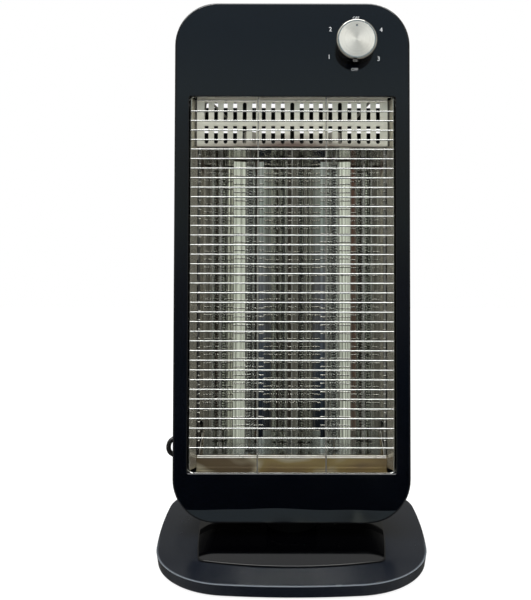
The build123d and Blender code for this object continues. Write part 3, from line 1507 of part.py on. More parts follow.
# Tie round the coil where the loops lie side by side
bundle_low = coil_centre[1] + out_turns[0] - cord_dia / 2 - 2.2
bundle_high = coil_centre[1] + half_turns[0] + cord_dia / 2 + face_gap
bundle_top = cord_level + layer_rise + cord_dia / 2 + face_gap
with BuildPart() as cord_tie:
    with BuildSketch(Plane.YZ.offset(coil_centre[0] - tie_width / 2)):
        with Locations(((bundle_low + bundle_high) / 2, (bundle_top + tie_thick) / 2)):
            Rectangle(bundle_high - bundle_low + 2 * tie_thick, bundle_top + tie_thick)
    extrude(amount=tie_width)
    with BuildSketch(Plane.YZ.offset(coil_centre[0] - tie_width / 2)):
        with Locations(((bundle_low + bundle_high) / 2, (bundle_top + tie_thick) / 2)):
            Rectangle(bundle_high - bundle_low, bundle_top - tie_thick)
    extrude(amount=tie_width, mode=Mode.SUBTRACT)
save(cord_tie, "cord_tie")

# Plug: moulded body with its own neck, and two round pins
plug_neck_x = tail_route[-1][0]
plug_y = tail_route[-1][1]
plug_body_x = plug_neck_x + plug_neck_long
with BuildPart() as plug_body:
    with BuildSketch(Plane.YZ.offset(plug_neck_x)):
        with Locations((plug_y, plug_axis)):
            Circle(relief_tip_dia / 2)
    with BuildSketch(Plane.YZ.offset(plug_body_x)):
        with Locations((plug_y, plug_axis)):
            Circle(plug_neck_dia / 2)
    loft()
    with BuildSketch(Plane.YZ.offset(plug_body_x)):
        with Locations((plug_y, plug_axis)):
            RectangleRounded(plug_wide, 2 * plug_axis, plug_axis * 0.8)
    extrude(amount=plug_long)
    fillet(plug_body.edges().group_by(Axis.X)[-1], plug_round)
save(plug_body, "plug_body")

with BuildPart() as plug_pins:
    with BuildSketch(Plane.YZ.offset(plug_body_x + plug_long)):
        with Locations((plug_y, plug_axis)):
            with GridLocations(pin_spacing, 1, 2, 1):
                Circle(pin_dia / 2)
    extrude(amount=pin_long)
    fillet(plug_pins.edges().group_by(Axis.X)[-1], pin_round)
save(plug_pins, "plug_pins")
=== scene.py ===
"""Looks of the upright twin-tube heater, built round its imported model.

Metres, +Z up, front towards -Y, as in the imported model.
"""
import json
from math import cos, pi, radians, sin

import bmesh
import bpy
from mathutils import Matrix, Vector


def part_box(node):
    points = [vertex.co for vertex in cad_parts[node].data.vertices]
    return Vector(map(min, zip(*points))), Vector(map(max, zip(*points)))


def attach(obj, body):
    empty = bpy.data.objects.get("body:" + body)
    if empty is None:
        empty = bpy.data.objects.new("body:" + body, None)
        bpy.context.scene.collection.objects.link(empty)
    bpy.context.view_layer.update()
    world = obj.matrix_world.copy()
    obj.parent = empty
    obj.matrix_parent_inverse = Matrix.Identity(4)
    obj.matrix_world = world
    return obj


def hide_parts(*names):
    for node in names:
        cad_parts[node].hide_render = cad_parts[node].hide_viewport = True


bl_info = {
    "name": "Twin Tube Heater",
    "version": (1, 0, 0),
    "blender": (4, 5, 0),
    "location": "View3D > Sidebar > Heater",
    "description": "Finishes, filaments, dial, cord and stage of an upright radiant heater",
    "category": "Object",
}

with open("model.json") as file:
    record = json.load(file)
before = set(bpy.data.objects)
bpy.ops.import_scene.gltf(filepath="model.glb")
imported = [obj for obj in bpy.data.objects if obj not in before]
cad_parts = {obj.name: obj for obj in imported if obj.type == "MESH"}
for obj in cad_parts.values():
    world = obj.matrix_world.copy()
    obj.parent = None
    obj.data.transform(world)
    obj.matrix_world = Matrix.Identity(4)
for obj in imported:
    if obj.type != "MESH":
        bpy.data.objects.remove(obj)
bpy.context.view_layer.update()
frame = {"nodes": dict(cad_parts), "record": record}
nodes = frame["nodes"]

MM_PER_M = 1000
WHITE = (1, 1, 1, 1)
# Nearly all values of a noise lie between these
NOISE_LOW, NOISE_HIGH = 0.3, 0.7


def linear(hex_colour):
    """Turn an sRGB hex colour into linear RGBA."""
    parts = [int(hex_colour[i:i + 2], 16) / 255 for i in (1, 3, 5)]
    return [p / 12.92 if p <= 0.04045 else ((p + 0.055) / 1.055) ** 2.4 for p in parts] + [1.0]


def add_node(tree, kind, inputs=None, **settings):
    """Add a node with its settings; inputs are values, or sockets to link from."""
    made = tree.nodes.new(kind)
    for name, value in settings.items():
        setattr(made, name, value)
    for name, value in (inputs or {}).items():
        if isinstance(value, bpy.types.NodeSocket):
            tree.links.new(value, made.inputs[name])
        else:
            made.inputs[name].default_value = value
    return made


def object_coords(tree):
    """Places in the heater's own frame, in metres."""
    return add_node(tree, "ShaderNodeTexCoord").outputs["Object"]


def maths(tree, operation, *values):
    """The result of one sum; values are numbers or sockets."""
    return add_node(tree, "ShaderNodeMath", dict(enumerate(values)), operation=operation).outputs[0]


def rescale(tree, value, start, end, low, high):
    """A number that goes from low to high while the value goes from start to end."""
    made = add_node(
        tree, "ShaderNodeMapRange",
        {"Value": value, "From Min": start, "From Max": end, "To Min": low, "To Max": high},
    )
    return made.outputs["Result"]


def blend(tree, share, first, second):
    """Colour between two others by a share."""
    made = add_node(tree, "ShaderNodeMix", {0: share, 6: first, 7: second}, data_type="RGBA")
    return made.outputs[2]


def mix_shaders(tree, share, first, second):
    """Shader between two others by a share."""
    return add_node(tree, "ShaderNodeMixShader", {0: share, 1: first, 2: second}).outputs[0]


def bump(tree, height, metres, below=None):
    """Relief of a depth in metres, laid over another relief where one is given."""
    inputs = {"Height": height, "Strength": 1.0, "Distance": metres}
    if below is not None:
        inputs["Normal"] = below
    return add_node(tree, "ShaderNodeBump", inputs).outputs[0]


def new_material(name):
    """Start a material; returns it with its tree, its shader and object coordinates."""
    material = bpy.data.materials.new(name)
    material.use_nodes = True
    tree = material.node_tree
    tree.nodes.clear()
    shader = add_node(tree, "ShaderNodeBsdfPrincipled")
    add_node(tree, "ShaderNodeOutputMaterial", {"Surface": shader.outputs[0]})
    return material, tree, shader, object_coords(tree)


def grain_noise(tree, coords, size_mm, stretch=(1, 1, 1), detail=4.0):
    """Noise with cells of a real size, drawn out along an axis where stretch is above 1."""
    scale = [MM_PER_M / size_mm / s for s in stretch]
    placed = add_node(tree, "ShaderNodeMapping", {"Vector": coords, "Scale": scale})
    noise = add_node(
        tree, "ShaderNodeTexNoise",
        {"Vector": placed.outputs[0], "Scale": 1.0, "Detail": detail, "Roughness": 0.6},
    )
    return noise.outputs["Fac"]


def colour_steps(tree, factor, stops):
    """Colours along a factor, from (place, hex colour, strength) stops."""
    made = add_node(tree, "ShaderNodeValToRGB", {"Fac": factor})
    elements = made.color_ramp.elements
    while len(elements) < len(stops):
        elements.new(0.5)
    for element, (place, colour, strength) in zip(elements, stops):
        element.position = place
        element.color = [c * strength for c in linear(colour)[:3]] + [1.0]
    return made.outputs["Color"]


def ramp(tree, factor, low, high):
    """Colour between two hex values along a noise factor."""
    return colour_steps(tree, factor, ((NOISE_LOW, low, 1.0), (NOISE_HIGH, high, 1.0)))


def spread(tree, factor, low, high):
    """A number between two values along a noise factor."""
    return rescale(tree, factor, NOISE_LOW, NOISE_HIGH, low, high)


def surface(name, low, high, metallic, rough, cloud, grain, stretch=(1, 1, 1), depth=0.02, **sockets):
    """A material from two close hex colours, a roughness range and a grain of real size.

    cloud and grain are cell sizes in millimetres, depth is the grain's height in millimetres.
    """
    material, tree, shader, coords = new_material(name)
    broad = grain_noise(tree, coords, cloud)
    fine = grain_noise(tree, coords, grain, stretch)
    mean = maths(tree, "MULTIPLY", maths(tree, "ADD", broad, fine), 0.5)
    tree.links.new(ramp(tree, mean, low, high), shader.inputs["Base Color"])
    tree.links.new(spread(tree, broad, *rough), shader.inputs["Roughness"])
    tree.links.new(bump(tree, fine, depth / MM_PER_M), shader.inputs["Normal"])
    shader.inputs["Metallic"].default_value = metallic
    for socket, value in sockets.items():
        shader.inputs[socket.replace("_", " ")].default_value = value
    return material


def rework(material):
    """The tree, the main shader and object coordinates of a finished surface."""
    tree = material.node_tree
    shader = next(n for n in tree.nodes if n.type == "BSDF_PRINCIPLED")
    return tree, shader, object_coords(tree)


def make_finishes():
    """Every finish of the heater, by the slot that wears it."""
    made = {}
    made["casing_black"] = moulded_front()
    # Moulded ABS, spark-eroded tool: fine dull speckle
    made["cover_black"] = surface(
        "satin black ABS", "#121315", "#1a1b1d", 0.0, (0.42, 0.55), 40, 0.5, depth=0.02, IOR=1.5,
    )
    # Black-oxide steel screws: dull with bare edges
    made["screw_black"] = surface(
        "black-oxide steel", "#1c1c1d", "#333332", 0.7, (0.35, 0.5), 3, 0.4, depth=0.01,
    )
    # Zinc-plated steel: pale, slightly yellow, cloudy
    made["screw_zinc"] = surface(
        "zinc-plated steel", "#a9a89f", "#c9c7bd", 1.0, (0.25, 0.42), 4, 0.5, depth=0.008,
    )
    # Chromed drawn steel wire: bright, with faint draw lines and a few dull pits
    made["chrome_wire"] = surface(
        "chromed steel wire", "#c4c4c2", "#e6e6e2", 1.0, (0.16, 0.24), 9, 0.4, (12, 1, 1), 0.0004,
    )
    made["vent_steel"] = tinted_steel()
    made["mirror_sheet"] = polished_sheet()
    # Bright-annealed stainless sheet: mirror-like with a slight haze
    made["bracket_steel"] = surface(
        "bright-annealed stainless steel", "#a9a7a2", "#c9c7c2", 1.0, (0.08, 0.16), 14, 1.0, (8, 1, 1),
        0.006,
    )
    # Oxidised resistance wire: dark brown-grey, matt
    made["resistance_wire"] = surface(
        "oxidised resistance wire", "#171310", "#2b2521", 0.9, (0.4, 0.6), 4, 0.3, depth=0.01,
    )
    # Nickel, drawn and punched: warm grey, half bright
    made["support_metal"] = surface(
        "nickel", "#8f8a80", "#b3ada2", 1.0, (0.25, 0.4), 4, 0.4, depth=0.005,
    )
    # Steatite, pressed and fired without a glaze: chalky, faintly speckled
    made["cap_ceramic"] = surface(
        "unglazed steatite", "#cfc9bb", "#e3dfd3", 0.0, (0.6, 0.8), 6, 0.5, depth=0.02, IOR=1.55,
    )
    # Phenolic moulding: brown-black, semi-matt
    made["switch_plastic"] = surface(
        "phenolic", "#15120f", "#231f1b", 0.0, (0.35, 0.5), 10, 0.5, depth=0.01, IOR=1.6,
    )
    # Turned steel: fine rings along the shaft
    made["shaft_steel"] = surface(
        "turned steel", "#8d8d8c", "#b2b2b0", 1.0, (0.25, 0.38), 6, 0.25, (6, 1, 6), 0.006,
    )
    # Vacuum-metallised ABS: smooth silver skin of the knob
    made["knob_plastic"] = surface(
        "metallised ABS", "#b9b5ac", "#dad6cd", 1.0, (0.12, 0.2), 12, 0.5, depth=0.003,
    )
    made["base_grey"] = moulded_shell()
    # Moulded ABS, piano gloss: the raised deck mirrors what stands on it
    made["deck_black"] = surface(
        "piano black ABS", "#010102", "#020203", 0.0, (0.04, 0.08), 60, 3.0, depth=0.003, IOR=1.5,
    )
    # Glass-filled nylon: dull black
    made["collar_black"] = surface(
        "glass-filled nylon", "#010102", "#030304", 0.0, (0.6, 0.75), 12, 0.5, depth=0.01, IOR=1.53,
        Specular_IOR_Level=0.1,
    )
    # Natural nylon: milky, waxy
    made["bush_nylon"] = surface(
        "natural nylon", "#cbc8b8", "#dcd9cb", 0.0, (0.35, 0.5), 10, 0.6, depth=0.008, IOR=1.53,
        Subsurface_Weight=0.2,
    )
    # Zinc-plated sheet: grey with rolling lines
    made["plate_steel"] = surface(
        "zinc-plated sheet", "#8b8c8b", "#adaeac", 1.0, (0.3, 0.5), 20, 0.5, (30, 1, 1), 0.008,
    )
    # Tin-plated can: bright, faint drawing marks
    made["motor_steel"] = surface(
        "tin-plated steel", "#b2b1ad", "#cfceca", 1.0, (0.2, 0.34), 10, 0.6, (1, 1, 12), 0.006,
    )
    # Punched steel with a thin zinc plating: plain grey
    made["link_steel"] = surface(
        "punched steel", "#91918e", "#b0afab", 1.0, (0.3, 0.45), 8, 0.4, depth=0.01,
    )
    # Moulded rubber: deep matt black
    made["foot_rubber"] = surface(
        "black rubber", "#141414", "#1f1f1e", 0.0, (0.75, 0.9), 8, 0.6, depth=0.03, IOR=1.52,
    )
    # Acetal: bright red, slippery
    made["plunger_plastic"] = surface(
        "red acetal", "#a81f17", "#bb2a20", 0.0, (0.3, 0.42), 8, 0.5, depth=0.006, IOR=1.48,
    )
    # Spring wire: hard drawn, dark bright
    made["spring_steel"] = surface(
        "spring wire", "#7c7c7b", "#9f9f9d", 1.0, (0.22, 0.36), 4, 0.3, depth=0.004,
    )
    # Polyamide, natural: yellowish white, dull
    made["block_plastic"] = surface(
        "natural polyamide", "#c7c1ae", "#d8d3c3", 0.0, (0.4, 0.55), 10, 0.6, depth=0.01, IOR=1.53,
    )
    # Braided glass-fibre sleeve: off-white, matt, crossed threads
    made["lead_sleeve"] = surface(
        "glass-fibre sleeve", "#a8a493", "#ddd9ca", 0.0, (0.7, 0.85), 6, 0.7, (1, 1, 2), 0.12, IOR=1.5,
    )
    # Soft PVC: satin black, slightly uneven from extrusion
    made["cord_black"] = surface(
        "soft black PVC", "#060607", "#0c0c0d", 0.0, (0.2, 0.3), 14, 1.2, depth=0.01, IOR=1.53,
    )
    # Moulded PVC: fine dull texture
    made["plug_black"] = surface(
        "moulded black PVC", "#101011", "#1a1a1b", 0.0, (0.4, 0.52), 12, 0.6, depth=0.02, IOR=1.53,
    )
    # Nickel-plated brass: pale gold under silver
    made["pin_brass"] = surface(
        "nickel-plated brass", "#b9ae94", "#d3cab4", 1.0, (0.18, 0.3), 5, 0.4, depth=0.004,
    )
    # Nylon strap: ribbed, satin black
    made["tie_black"] = surface(
        "black nylon strap", "#111112", "#1c1c1d", 0.0, (0.35, 0.5), 6, 0.9, depth=0.03, IOR=1.53,
    )
    made["quartz"] = quartz_glass()
    made["knob_metal"] = spun_aluminium()
    made["strip_steel"] = reflection_painted_sheet()
    # Rolled stainless strip beside the troughs: satin, lines along its height
    made["side_steel"] = surface(
        "satin stainless strip", "#a9a699", "#cbc8bb", 0.82, (0.18, 0.28), 25, 0.4, (1, 1, 40), 0.002,
    )
    # Burnished hem: bare bright edge, satin, picks up light from all sides
    made["hem_steel"] = surface(
        "burnished steel edge", "#dcdad2", "#f4f3ec", 0.45, (0.25, 0.35), 12, 0.5, (10, 1, 1), 0.002,
    )
    return made


def polished_sheet():
    """Bright-rolled aluminium: a mirror with upright rolling lines and a slow waviness."""
    material, tree, shader, coords = new_material("bright-rolled aluminium")
    waves = grain_noise(tree, coords, 18.0, (1, 1, 60), 1.0)
    lines = grain_noise(tree, coords, 2.4, (1, 1, 500), 2.0)
    haze = grain_noise(tree, coords, 22.0, (1, 1, 2))
    tree.links.new(ramp(tree, lines, "#a9a8a2", "#f0efea"), shader.inputs["Base Color"])
    tree.links.new(spread(tree, haze, 0.01, 0.035), shader.inputs["Roughness"])
    wave_depth, line_depth = 0.00008, 0.00002
    slow = bump(tree, waves, wave_depth)
    tree.links.new(bump(tree, lines, line_depth, slow), shader.inputs["Normal"])
    shader.inputs["Metallic"].default_value = 1.0
    return material


def moulded_front():
    """Gloss black ABS: near-black with a little blue, faint orange peel, flared along the foot."""
    low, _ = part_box("front_casing")
    material = surface(
        "gloss black ABS", "#020306", "#04060b", 0.0, (0.05, 0.09), 60, 2.5, depth=0.002, IOR=1.5,
    )
    tree, shader, coords = rework(material)
    peel = shader.inputs["Normal"].links[0].from_socket
    # The foot leans outwards by about 20 degrees, up to a line that wanders by a few millimetres
    flare_top, flare_out, line_wander = 0.018, 0.007, 0.006
    wander = grain_noise(tree, coords, 60.0, detail=0.0)
    parts = add_node(tree, "ShaderNodeSeparateXYZ", {0: coords})
    waved = maths(tree, "MULTIPLY_ADD", wander, line_wander, parts.outputs["Z"])
    flare = rescale(tree, waved, low.z, low.z + flare_top, 1.0, 0.0)
    tree.links.new(bump(tree, flare, flare_out, peel), shader.inputs["Normal"])
    return material


def moulded_shell():
    """Semi-gloss grey ABS of the foot: fine texture, with a painted highlight in pale grey along the rim's
    upper edge in front.
    """
    low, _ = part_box("base_top")
    material = surface(
        "semi-gloss grey ABS", "#0b0f17", "#11161f", 0.0, (0.2, 0.28), 50, 0.6, depth=0.001, IOR=1.5,
    )
    tree, shader, coords = rework(material)
    plain = shader.inputs["Base Color"].links[0].from_socket
    parts = add_node(tree, "ShaderNodeSeparateXYZ", {0: coords})
    # The painted highlight is a line just under the rim's edge and fades out at both sides of it
    edge_above_foot, line_below_edge = 0.011, 0.0002
    line_half, fade_end, highlight_share = 0.0002, 0.0005, 0.6
    # It is full as far back as full_y and gone behind gone_y
    full_y, gone_y = -0.08, -0.02
    line_z = low.z + edge_above_foot - line_below_edge
    aside = maths(tree, "ABSOLUTE", maths(tree, "SUBTRACT", parts.outputs["Z"], line_z))
    painted_highlight = rescale(tree, aside, line_half, fade_end, highlight_share, 0.0)
    ahead = rescale(tree, parts.outputs["Y"], full_y, gone_y, 1.0, 0.0)
    # Pale grey painted over the plain colour as a highlight, full in front and gone towards the back
    tone = blend(tree, maths(tree, "MULTIPLY", painted_highlight, ahead), plain, linear("#8f979f"))
    tree.links.new(tone, shader.inputs["Base Color"])
    return material


def tinted_steel():
    """Satin stainless steel with lines along the sheet, tinted by heat near its lower edge."""
    low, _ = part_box("vent_plate")
    material = surface(
        "satin stainless steel", "#dedbca", "#f0eddf", 0.72, (0.32, 0.45), 25, 0.35, (60, 1, 1), 0.006,
    )
    tree, shader, coords = rework(material)
    plain = shader.inputs["Base Color"].links[0].from_socket
    cloud = grain_noise(tree, coords, 12.0)
    parts = add_node(tree, "ShaderNodeSeparateXYZ", {0: coords})
    # The tint fades out upwards, and sooner towards the sides
    full_up_to, gone_from, strongest = 0.008, 0.022, 0.9
    side_slope, cloud_lift = 0.12, 0.012
    aside = maths(tree, "ABSOLUTE", parts.outputs["X"])
    lifted = maths(tree, "MULTIPLY_ADD", aside, side_slope, parts.outputs["Z"])
    waved = maths(tree, "MULTIPLY_ADD", cloud, cloud_lift, lifted)
    heat = rescale(tree, waved, low.z + full_up_to, low.z + gone_from, strongest, 0.0)
    tree.links.new(blend(tree, heat, plain, linear("#6a5148")), shader.inputs["Base Color"])
    return material


def reflection_painted_sheet():
    """Bright-annealed stainless strip under the tubes, with a painted reflection of the brown room in
    front: straw and bronze in broad patches.
    """
    material = surface(
        "reflection-painted stainless steel", "#8d8064", "#b5aa8c", 0.55, (0.14, 0.24), 45, 4.0, (12, 1, 1), 0.01,
    )
    tree, shader, coords = rework(material)
    painted_reflection_patches = grain_noise(tree, coords, 60.0, (1, 1, 0.5), 1.0)
    # These straw and bronze stops are a painted reflection of the room in front, laid in as base colour
    tone = colour_steps(tree, painted_reflection_patches, (
        (0.30, "#6a5a50", 1.0),
        (0.42, "#8f7c58", 1.0),
        (0.52, "#9c8a5e", 1.0),
        (0.60, "#bdb59c", 1.0),
        (0.66, "#75664f", 1.0),
    ))
    tree.links.new(tone, shader.inputs["Base Color"])
    return material


def quartz_glass():
    """Clear fused quartz, drawn: faint draw lines along the tube, greyed a little inside."""
    material, tree, shader, coords = new_material("drawn quartz glass")
    line_depth = 0.00002
    lines = grain_noise(tree, coords, 1.4, (1, 1, 80))
    tree.links.new(bump(tree, lines, line_depth), shader.inputs["Normal"])
    tree.links.new(spread(tree, lines, 0.0, 0.03), shader.inputs["Roughness"])
    tree.links.new(ramp(tree, lines, "#eef1f1", "#fbfcfc"), shader.inputs["Base Color"])
    shader.inputs["Transmission Weight"].default_value = 1.0
    shader.inputs["IOR"].default_value = 1.458
    return material


def spun_aluminium():
    """Aluminium disc brushed while it turned: rings about the knob's centre, satin sheen."""
    low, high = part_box("knob_face")
    centre = (low + high) / 2
    material, tree, shader, coords = new_material("spun-brushed aluminium")
    moved = add_node(tree, "ShaderNodeMapping", {"Vector": coords, "Location": -centre})
    flat = add_node(tree, "ShaderNodeMapping", {"Vector": moved.outputs[0], "Scale": (1, 0, 1)})
    radius = add_node(tree, "ShaderNodeVectorMath", {0: flat.outputs[0]}, operation="LENGTH")
    # Brush lines lie about 0.15 mm apart; drawn at 0.4 mm so that they show
    ring_mm, ring_depth = 0.4, 0.00001
    rings = add_node(
        tree, "ShaderNodeTexNoise",
        {"W": radius.outputs["Value"], "Scale": MM_PER_M / ring_mm, "Detail": 3.0}, noise_dimensions="1D",
    )
    factor = rings.outputs["Fac"]
    tree.links.new(ramp(tree, factor, "#d2cdc2", "#f2efe6"), shader.inputs["Base Color"])
    tree.links.new(spread(tree, factor, 0.28, 0.38), shader.inputs["Roughness"])
    along = add_node(
        tree, "ShaderNodeVectorMath", {0: flat.outputs[0], 1: (0, 1, 0)}, operation="CROSS_PRODUCT",
    )
    tree.links.new(along.outputs[0], shader.inputs["Tangent"])
    shader.inputs["Anisotropic"].default_value = 0.7
    tree.links.new(bump(tree, factor, ring_depth), shader.inputs["Normal"])
    shader.inputs["Metallic"].default_value = 0.8
    return material


def printed_ink():
    """Screen-printed ink: pale grey, matt, a little uneven."""
    return surface("screen-printed ink", "#b9bbbd", "#d6d8d9", 0.0, (0.5, 0.65), 3, 0.3, depth=0.004)


def new_object(name, data, body, material):
    """Link an object, give it its material and let it ride on its body."""
    made = bpy.data.objects.new(name, data)
    bpy.context.scene.collection.objects.link(made)
    data.materials.append(material)
    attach(made, body)
    return made


def mesh_object(name, bm, body, material, smooth=40):
    """Turn a finished bmesh into a riding object with rounded shading."""
    mesh = bpy.data.meshes.new(name)
    bm.to_mesh(mesh)
    bm.free()
    mesh.shade_smooth()
    mesh.set_sharp_from_angle(angle=radians(smooth))
    return new_object(name, mesh, body, material)


# Stripes of the room straight in front, as (degrees from the front, left below 0, colour, strength)
FRONT_BANDS = (
    (-16.0, "#c0c0b8", 0.45),
    (-13.4, "#c0c0b8", 0.45),
    (-12.9, "#d6dade", 0.60),
    (-11.0, "#e6e8e4", 0.60),
    (-10.4, "#a09a90", 0.16),
    (-8.2, "#a09a90", 0.14),
    (-7.8, "#7a5548", 0.95),
    (-7.3, "#a09a90", 0.10),
    (-6.8, "#7a5548", 1.20),
    (-6.3, "#b8b4a8", 0.16),
    (-5.8, "#c0c0b8", 0.62),
    (-5.4, "#a09a90", 0.20),
    (-5.0, "#c0c0b8", 0.52),
    (-4.3, "#a09a90", 0.18),
    (-3.7, "#a09a90", 0.14),
    (-3.55, "#f6fff0", 0.92),
    (-2.1, "#f6fff0", 0.84),
    (-1.8, "#b8b8b0", 0.20),
    (-0.4, "#a8a8a0", 0.18),
    (0.5, "#a09a90", 0.10),
    (1.9, "#a09a90", 0.15),
    (2.1, "#f6fff0", 0.82),
    (3.6, "#f6fff0", 0.90),
    (3.9, "#b8b4a8", 0.22),
    (5.2, "#c0c0b8", 0.40),
    (6.3, "#a09a90", 0.12),
    (6.9, "#f6fff0", 1.45),
    (8.1, "#f6fff0", 1.30),
    (8.6, "#a09a90", 0.15),
    (11.0, "#e6e8e4", 0.60),
    (13.0, "#d6dade", 0.55),
    (13.6, "#a09a90", 0.16),
)
FRONT_REACH = 16.0
STREAKS_ACROSS = 200.0
# Beside the stripes the front turns slate between the first two angles, and back between the others
SLATE_FROM = (9.6, 10.6)
SLATE_UNTIL = (12.7, 13.2)
# Above the stripes it turns slate between these heights of view, where 0 is straight down and 1 is up
SLATE_ABOVE = (0.632, 0.655)
# Angle from the front at which the rest of the room starts to show
ROOM_FROM = 15.0

# What the front faces beside and above the window mirror, as (height of view, colour, strength)
FRONT_SLATE = (
    (0.345, "#000000", 1.0),
    (0.365, "#0c0f14", 1.0),
    (0.422, "#333d49", 1.0),
    (0.500, "#666a70", 1.0),
    (0.560, "#8f9a95", 1.0),
    (0.610, "#a0a8a4", 1.0),
    (0.665, "#aabbc1", 1.0),
    (0.710, "#99acba", 1.0),
    (0.900, "#c8d4de", 1.0),
)

# The rest of the room, from the front round by the right, the back and the left to the front again,
# as (place on the way round, colour, strength)
ROOM_BANDS = (
    (0.00, "#c0c0b8", 0.16),
    (0.10, "#fafaf4", 0.70),
    (0.27, "#fafaf4", 0.90),
    (0.33, "#fafaf4", 0.40),
    (0.67, "#fafaf4", 0.40),
    (0.73, "#fafaf4", 0.90),
    (0.90, "#fafaf4", 0.70),
    (1.00, "#c0c0b8", 0.16),
)


def floor_paint(colour):
    """White floor: plain where it is seen, with the heater's shadow; out of the mirrors' way."""
    glow_strength, glow_share = 1.16, 0.72
    material, tree, shader, _ = new_material("white painted floor")
    shader.inputs["Base Color"].default_value = colour
    shader.inputs["Roughness"].default_value = 0.8
    shader.inputs["Specular IOR Level"].default_value = 0.1
    path = add_node(tree, "ShaderNodeLightPath")
    glow = add_node(tree, "ShaderNodeEmission", {"Color": WHITE, "Strength": glow_strength})
    share = maths(tree, "MULTIPLY", path.outputs["Is Camera Ray"], glow_share)
    seen = mix_shaders(tree, share, shader.outputs[0], glow.outputs[0])
    # Polished faces look past the floor to the room
    clear = add_node(tree, "ShaderNodeBsdfTransparent")
    shown = mix_shaders(tree, path.outputs["Is Glossy Ray"], seen, clear.outputs[0])
    output = next(n for n in tree.nodes if n.type == "OUTPUT_MATERIAL")
    tree.links.new(shown, output.inputs["Surface"])
    return material


def studio_room():
    """White backdrop for the eye; for mirrors a dusky striped room in front and pale cloths round it."""
    world = bpy.data.worlds.new("studio")
    world.use_nodes = True
    tree = world.node_tree
    tree.nodes.clear()
    direction = add_node(tree, "ShaderNodeTexCoord").outputs["Generated"]
    parts = add_node(tree, "ShaderNodeSeparateXYZ", {0: direction})
    height = rescale(tree, parts.outputs["Z"], -1.0, 1.0, 0.0, 1.0)
    ahead = maths(tree, "MULTIPLY", parts.outputs["Y"], -1.0)
    turned = maths(tree, "ARCTAN2", parts.outputs["X"], ahead)
    aside = maths(tree, "ABSOLUTE", turned)
    reach = radians(FRONT_REACH)

    # Straight in front: stripes, with fine streaks of about a sixth of a degree, dim to bright
    noise_from, noise_to, dimmest, brightest = 0.34, 0.66, 0.5, 1.4
    across = rescale(tree, turned, -reach, reach, 0.0, 1.0)
    places = [((angle / FRONT_REACH + 1) / 2, colour, strength) for angle, colour, strength in FRONT_BANDS]
    stripes = colour_steps(tree, across, places)
    streaks = add_node(
        tree, "ShaderNodeTexNoise",
        {"W": across, "Scale": STREAKS_ACROSS, "Detail": 4.0, "Roughness": 0.75}, noise_dimensions="1D",
    ).outputs["Fac"]
    streaked = rescale(tree, streaks, noise_from, noise_to, dimmest, brightest)
    dusk = colour_steps(tree, height, (
        (0.340, "#000000", 1.0),
        (0.352, "#e0e0e0", 1.0),
        (0.500, "#f4f4f4", 1.0),
        (0.600, "#ffffff", 1.0),
    ))
    lined = add_node(tree, "ShaderNodeVectorMath", {0: stripes, "Scale": streaked}, operation="SCALE")
    middle = add_node(
        tree, "ShaderNodeVectorMath", {0: lined.outputs[0], 1: dusk}, operation="MULTIPLY",
    ).outputs[0]
    slate = colour_steps(tree, height, FRONT_SLATE)
    inner = rescale(tree, aside, *map(radians, SLATE_FROM), 0.0, 1.0)
    outer = rescale(tree, aside, *map(radians, SLATE_UNTIL), 1.0, 0.0)
    beside = maths(tree, "MULTIPLY", outer, inner)
    above = rescale(tree, height, *SLATE_ABOVE, 0.0, 1.0)
    front = blend(tree, maths(tree, "MAXIMUM", beside, above), middle, slate)

    # All round, from 0 at the front, by its right and the back, to 1 at the front again
    around = maths(tree, "FRACT", rescale(tree, turned, -pi, pi, 0.5, 1.5))
    upright = colour_steps(tree, height, (
        (0.47, "#858585", 1.4),
        (0.52, "#989898", 1.4),
        (0.60, "#a8a8a8", 1.4),
        (0.76, "#a0a0a0", 1.4),
        (0.90, "#ffffff", 1.4),
    ))
    bands = colour_steps(tree, around, ROOM_BANDS)
    round_about = add_node(
        tree, "ShaderNodeVectorMath", {0: upright, 1: bands}, operation="MULTIPLY",
    ).outputs[0]
    sideways = rescale(tree, aside, radians(ROOM_FROM), reach, 0.0, 1.0)
    seen_by_mirrors = blend(tree, sideways, front, round_about)

    room, plain, white = (
        add_node(tree, "ShaderNodeBackground", {"Color": colour, "Strength": strength}).outputs[0]
        for colour, strength in ((seen_by_mirrors, 1.0), (WHITE, 0.8), (WHITE, 1.0))
    )
    path = add_node(tree, "ShaderNodeLightPath")
    polished = maths(
        tree, "MAXIMUM", path.outputs["Is Glossy Ray"], path.outputs["Is Transmission Ray"],
    )
    indirect = mix_shaders(tree, polished, plain, room)
    shown = mix_shaders(tree, path.outputs["Is Camera Ray"], indirect, white)
    add_node(tree, "ShaderNodeOutputWorld", {"Surface": shown})
    return world


class HeaterLooks(bpy.types.PropertyGroup):
    """Sizes and colours that a user would change."""

    filament_turns: bpy.props.IntProperty(
        name="Filament Turns", description="Turns of each heating coil", default=97, min=20, max=160,
    )
    filament_wire: bpy.props.FloatProperty(
        name="Filament Wire", description="Thickness of the resistance wire", default=0.0009,
        min=0.0003, max=0.002, unit="LENGTH", precision=4,
    )
    figure_height: bpy.props.FloatProperty(
        name="Dial Figures", description="Height of the figures round the knob", default=0.0048,
        unit="LENGTH", precision=4,
    )
    floor_colour: bpy.props.FloatVectorProperty(
        name="Floor Colour", description="Colour of the floor", subtype="COLOR", size=4,
        default=linear("#f2f2f2"), min=0, max=1,
    )


# Filled by the finishes operator; the other operators take theirs from it
finishes = {}

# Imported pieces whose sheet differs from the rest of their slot
OWN_FINISH = {
    "lower_reflector_strip": "strip_steel",
    "left_side_plate": "side_steel",
    "right_side_plate": "side_steel",
}

CAMERA_PLACE = (0, -0.639, 0.29183)
CAMERA_TIP, CAMERA_ROLL = 91.2, -0.1

FLOOR_HALF = 6.0
LAMP_AIM = (0, 0, 0.25)
# Lamps as (name, place, width, depth, watts)
LAMPS = (
    ("soft_key", (-0.2, -1.0, 2.6), 3.0, 1.4, 72.0),
    ("soft_top", (0.0, 0.4, 2.4), 1.4, 1.4, 16.0),
)


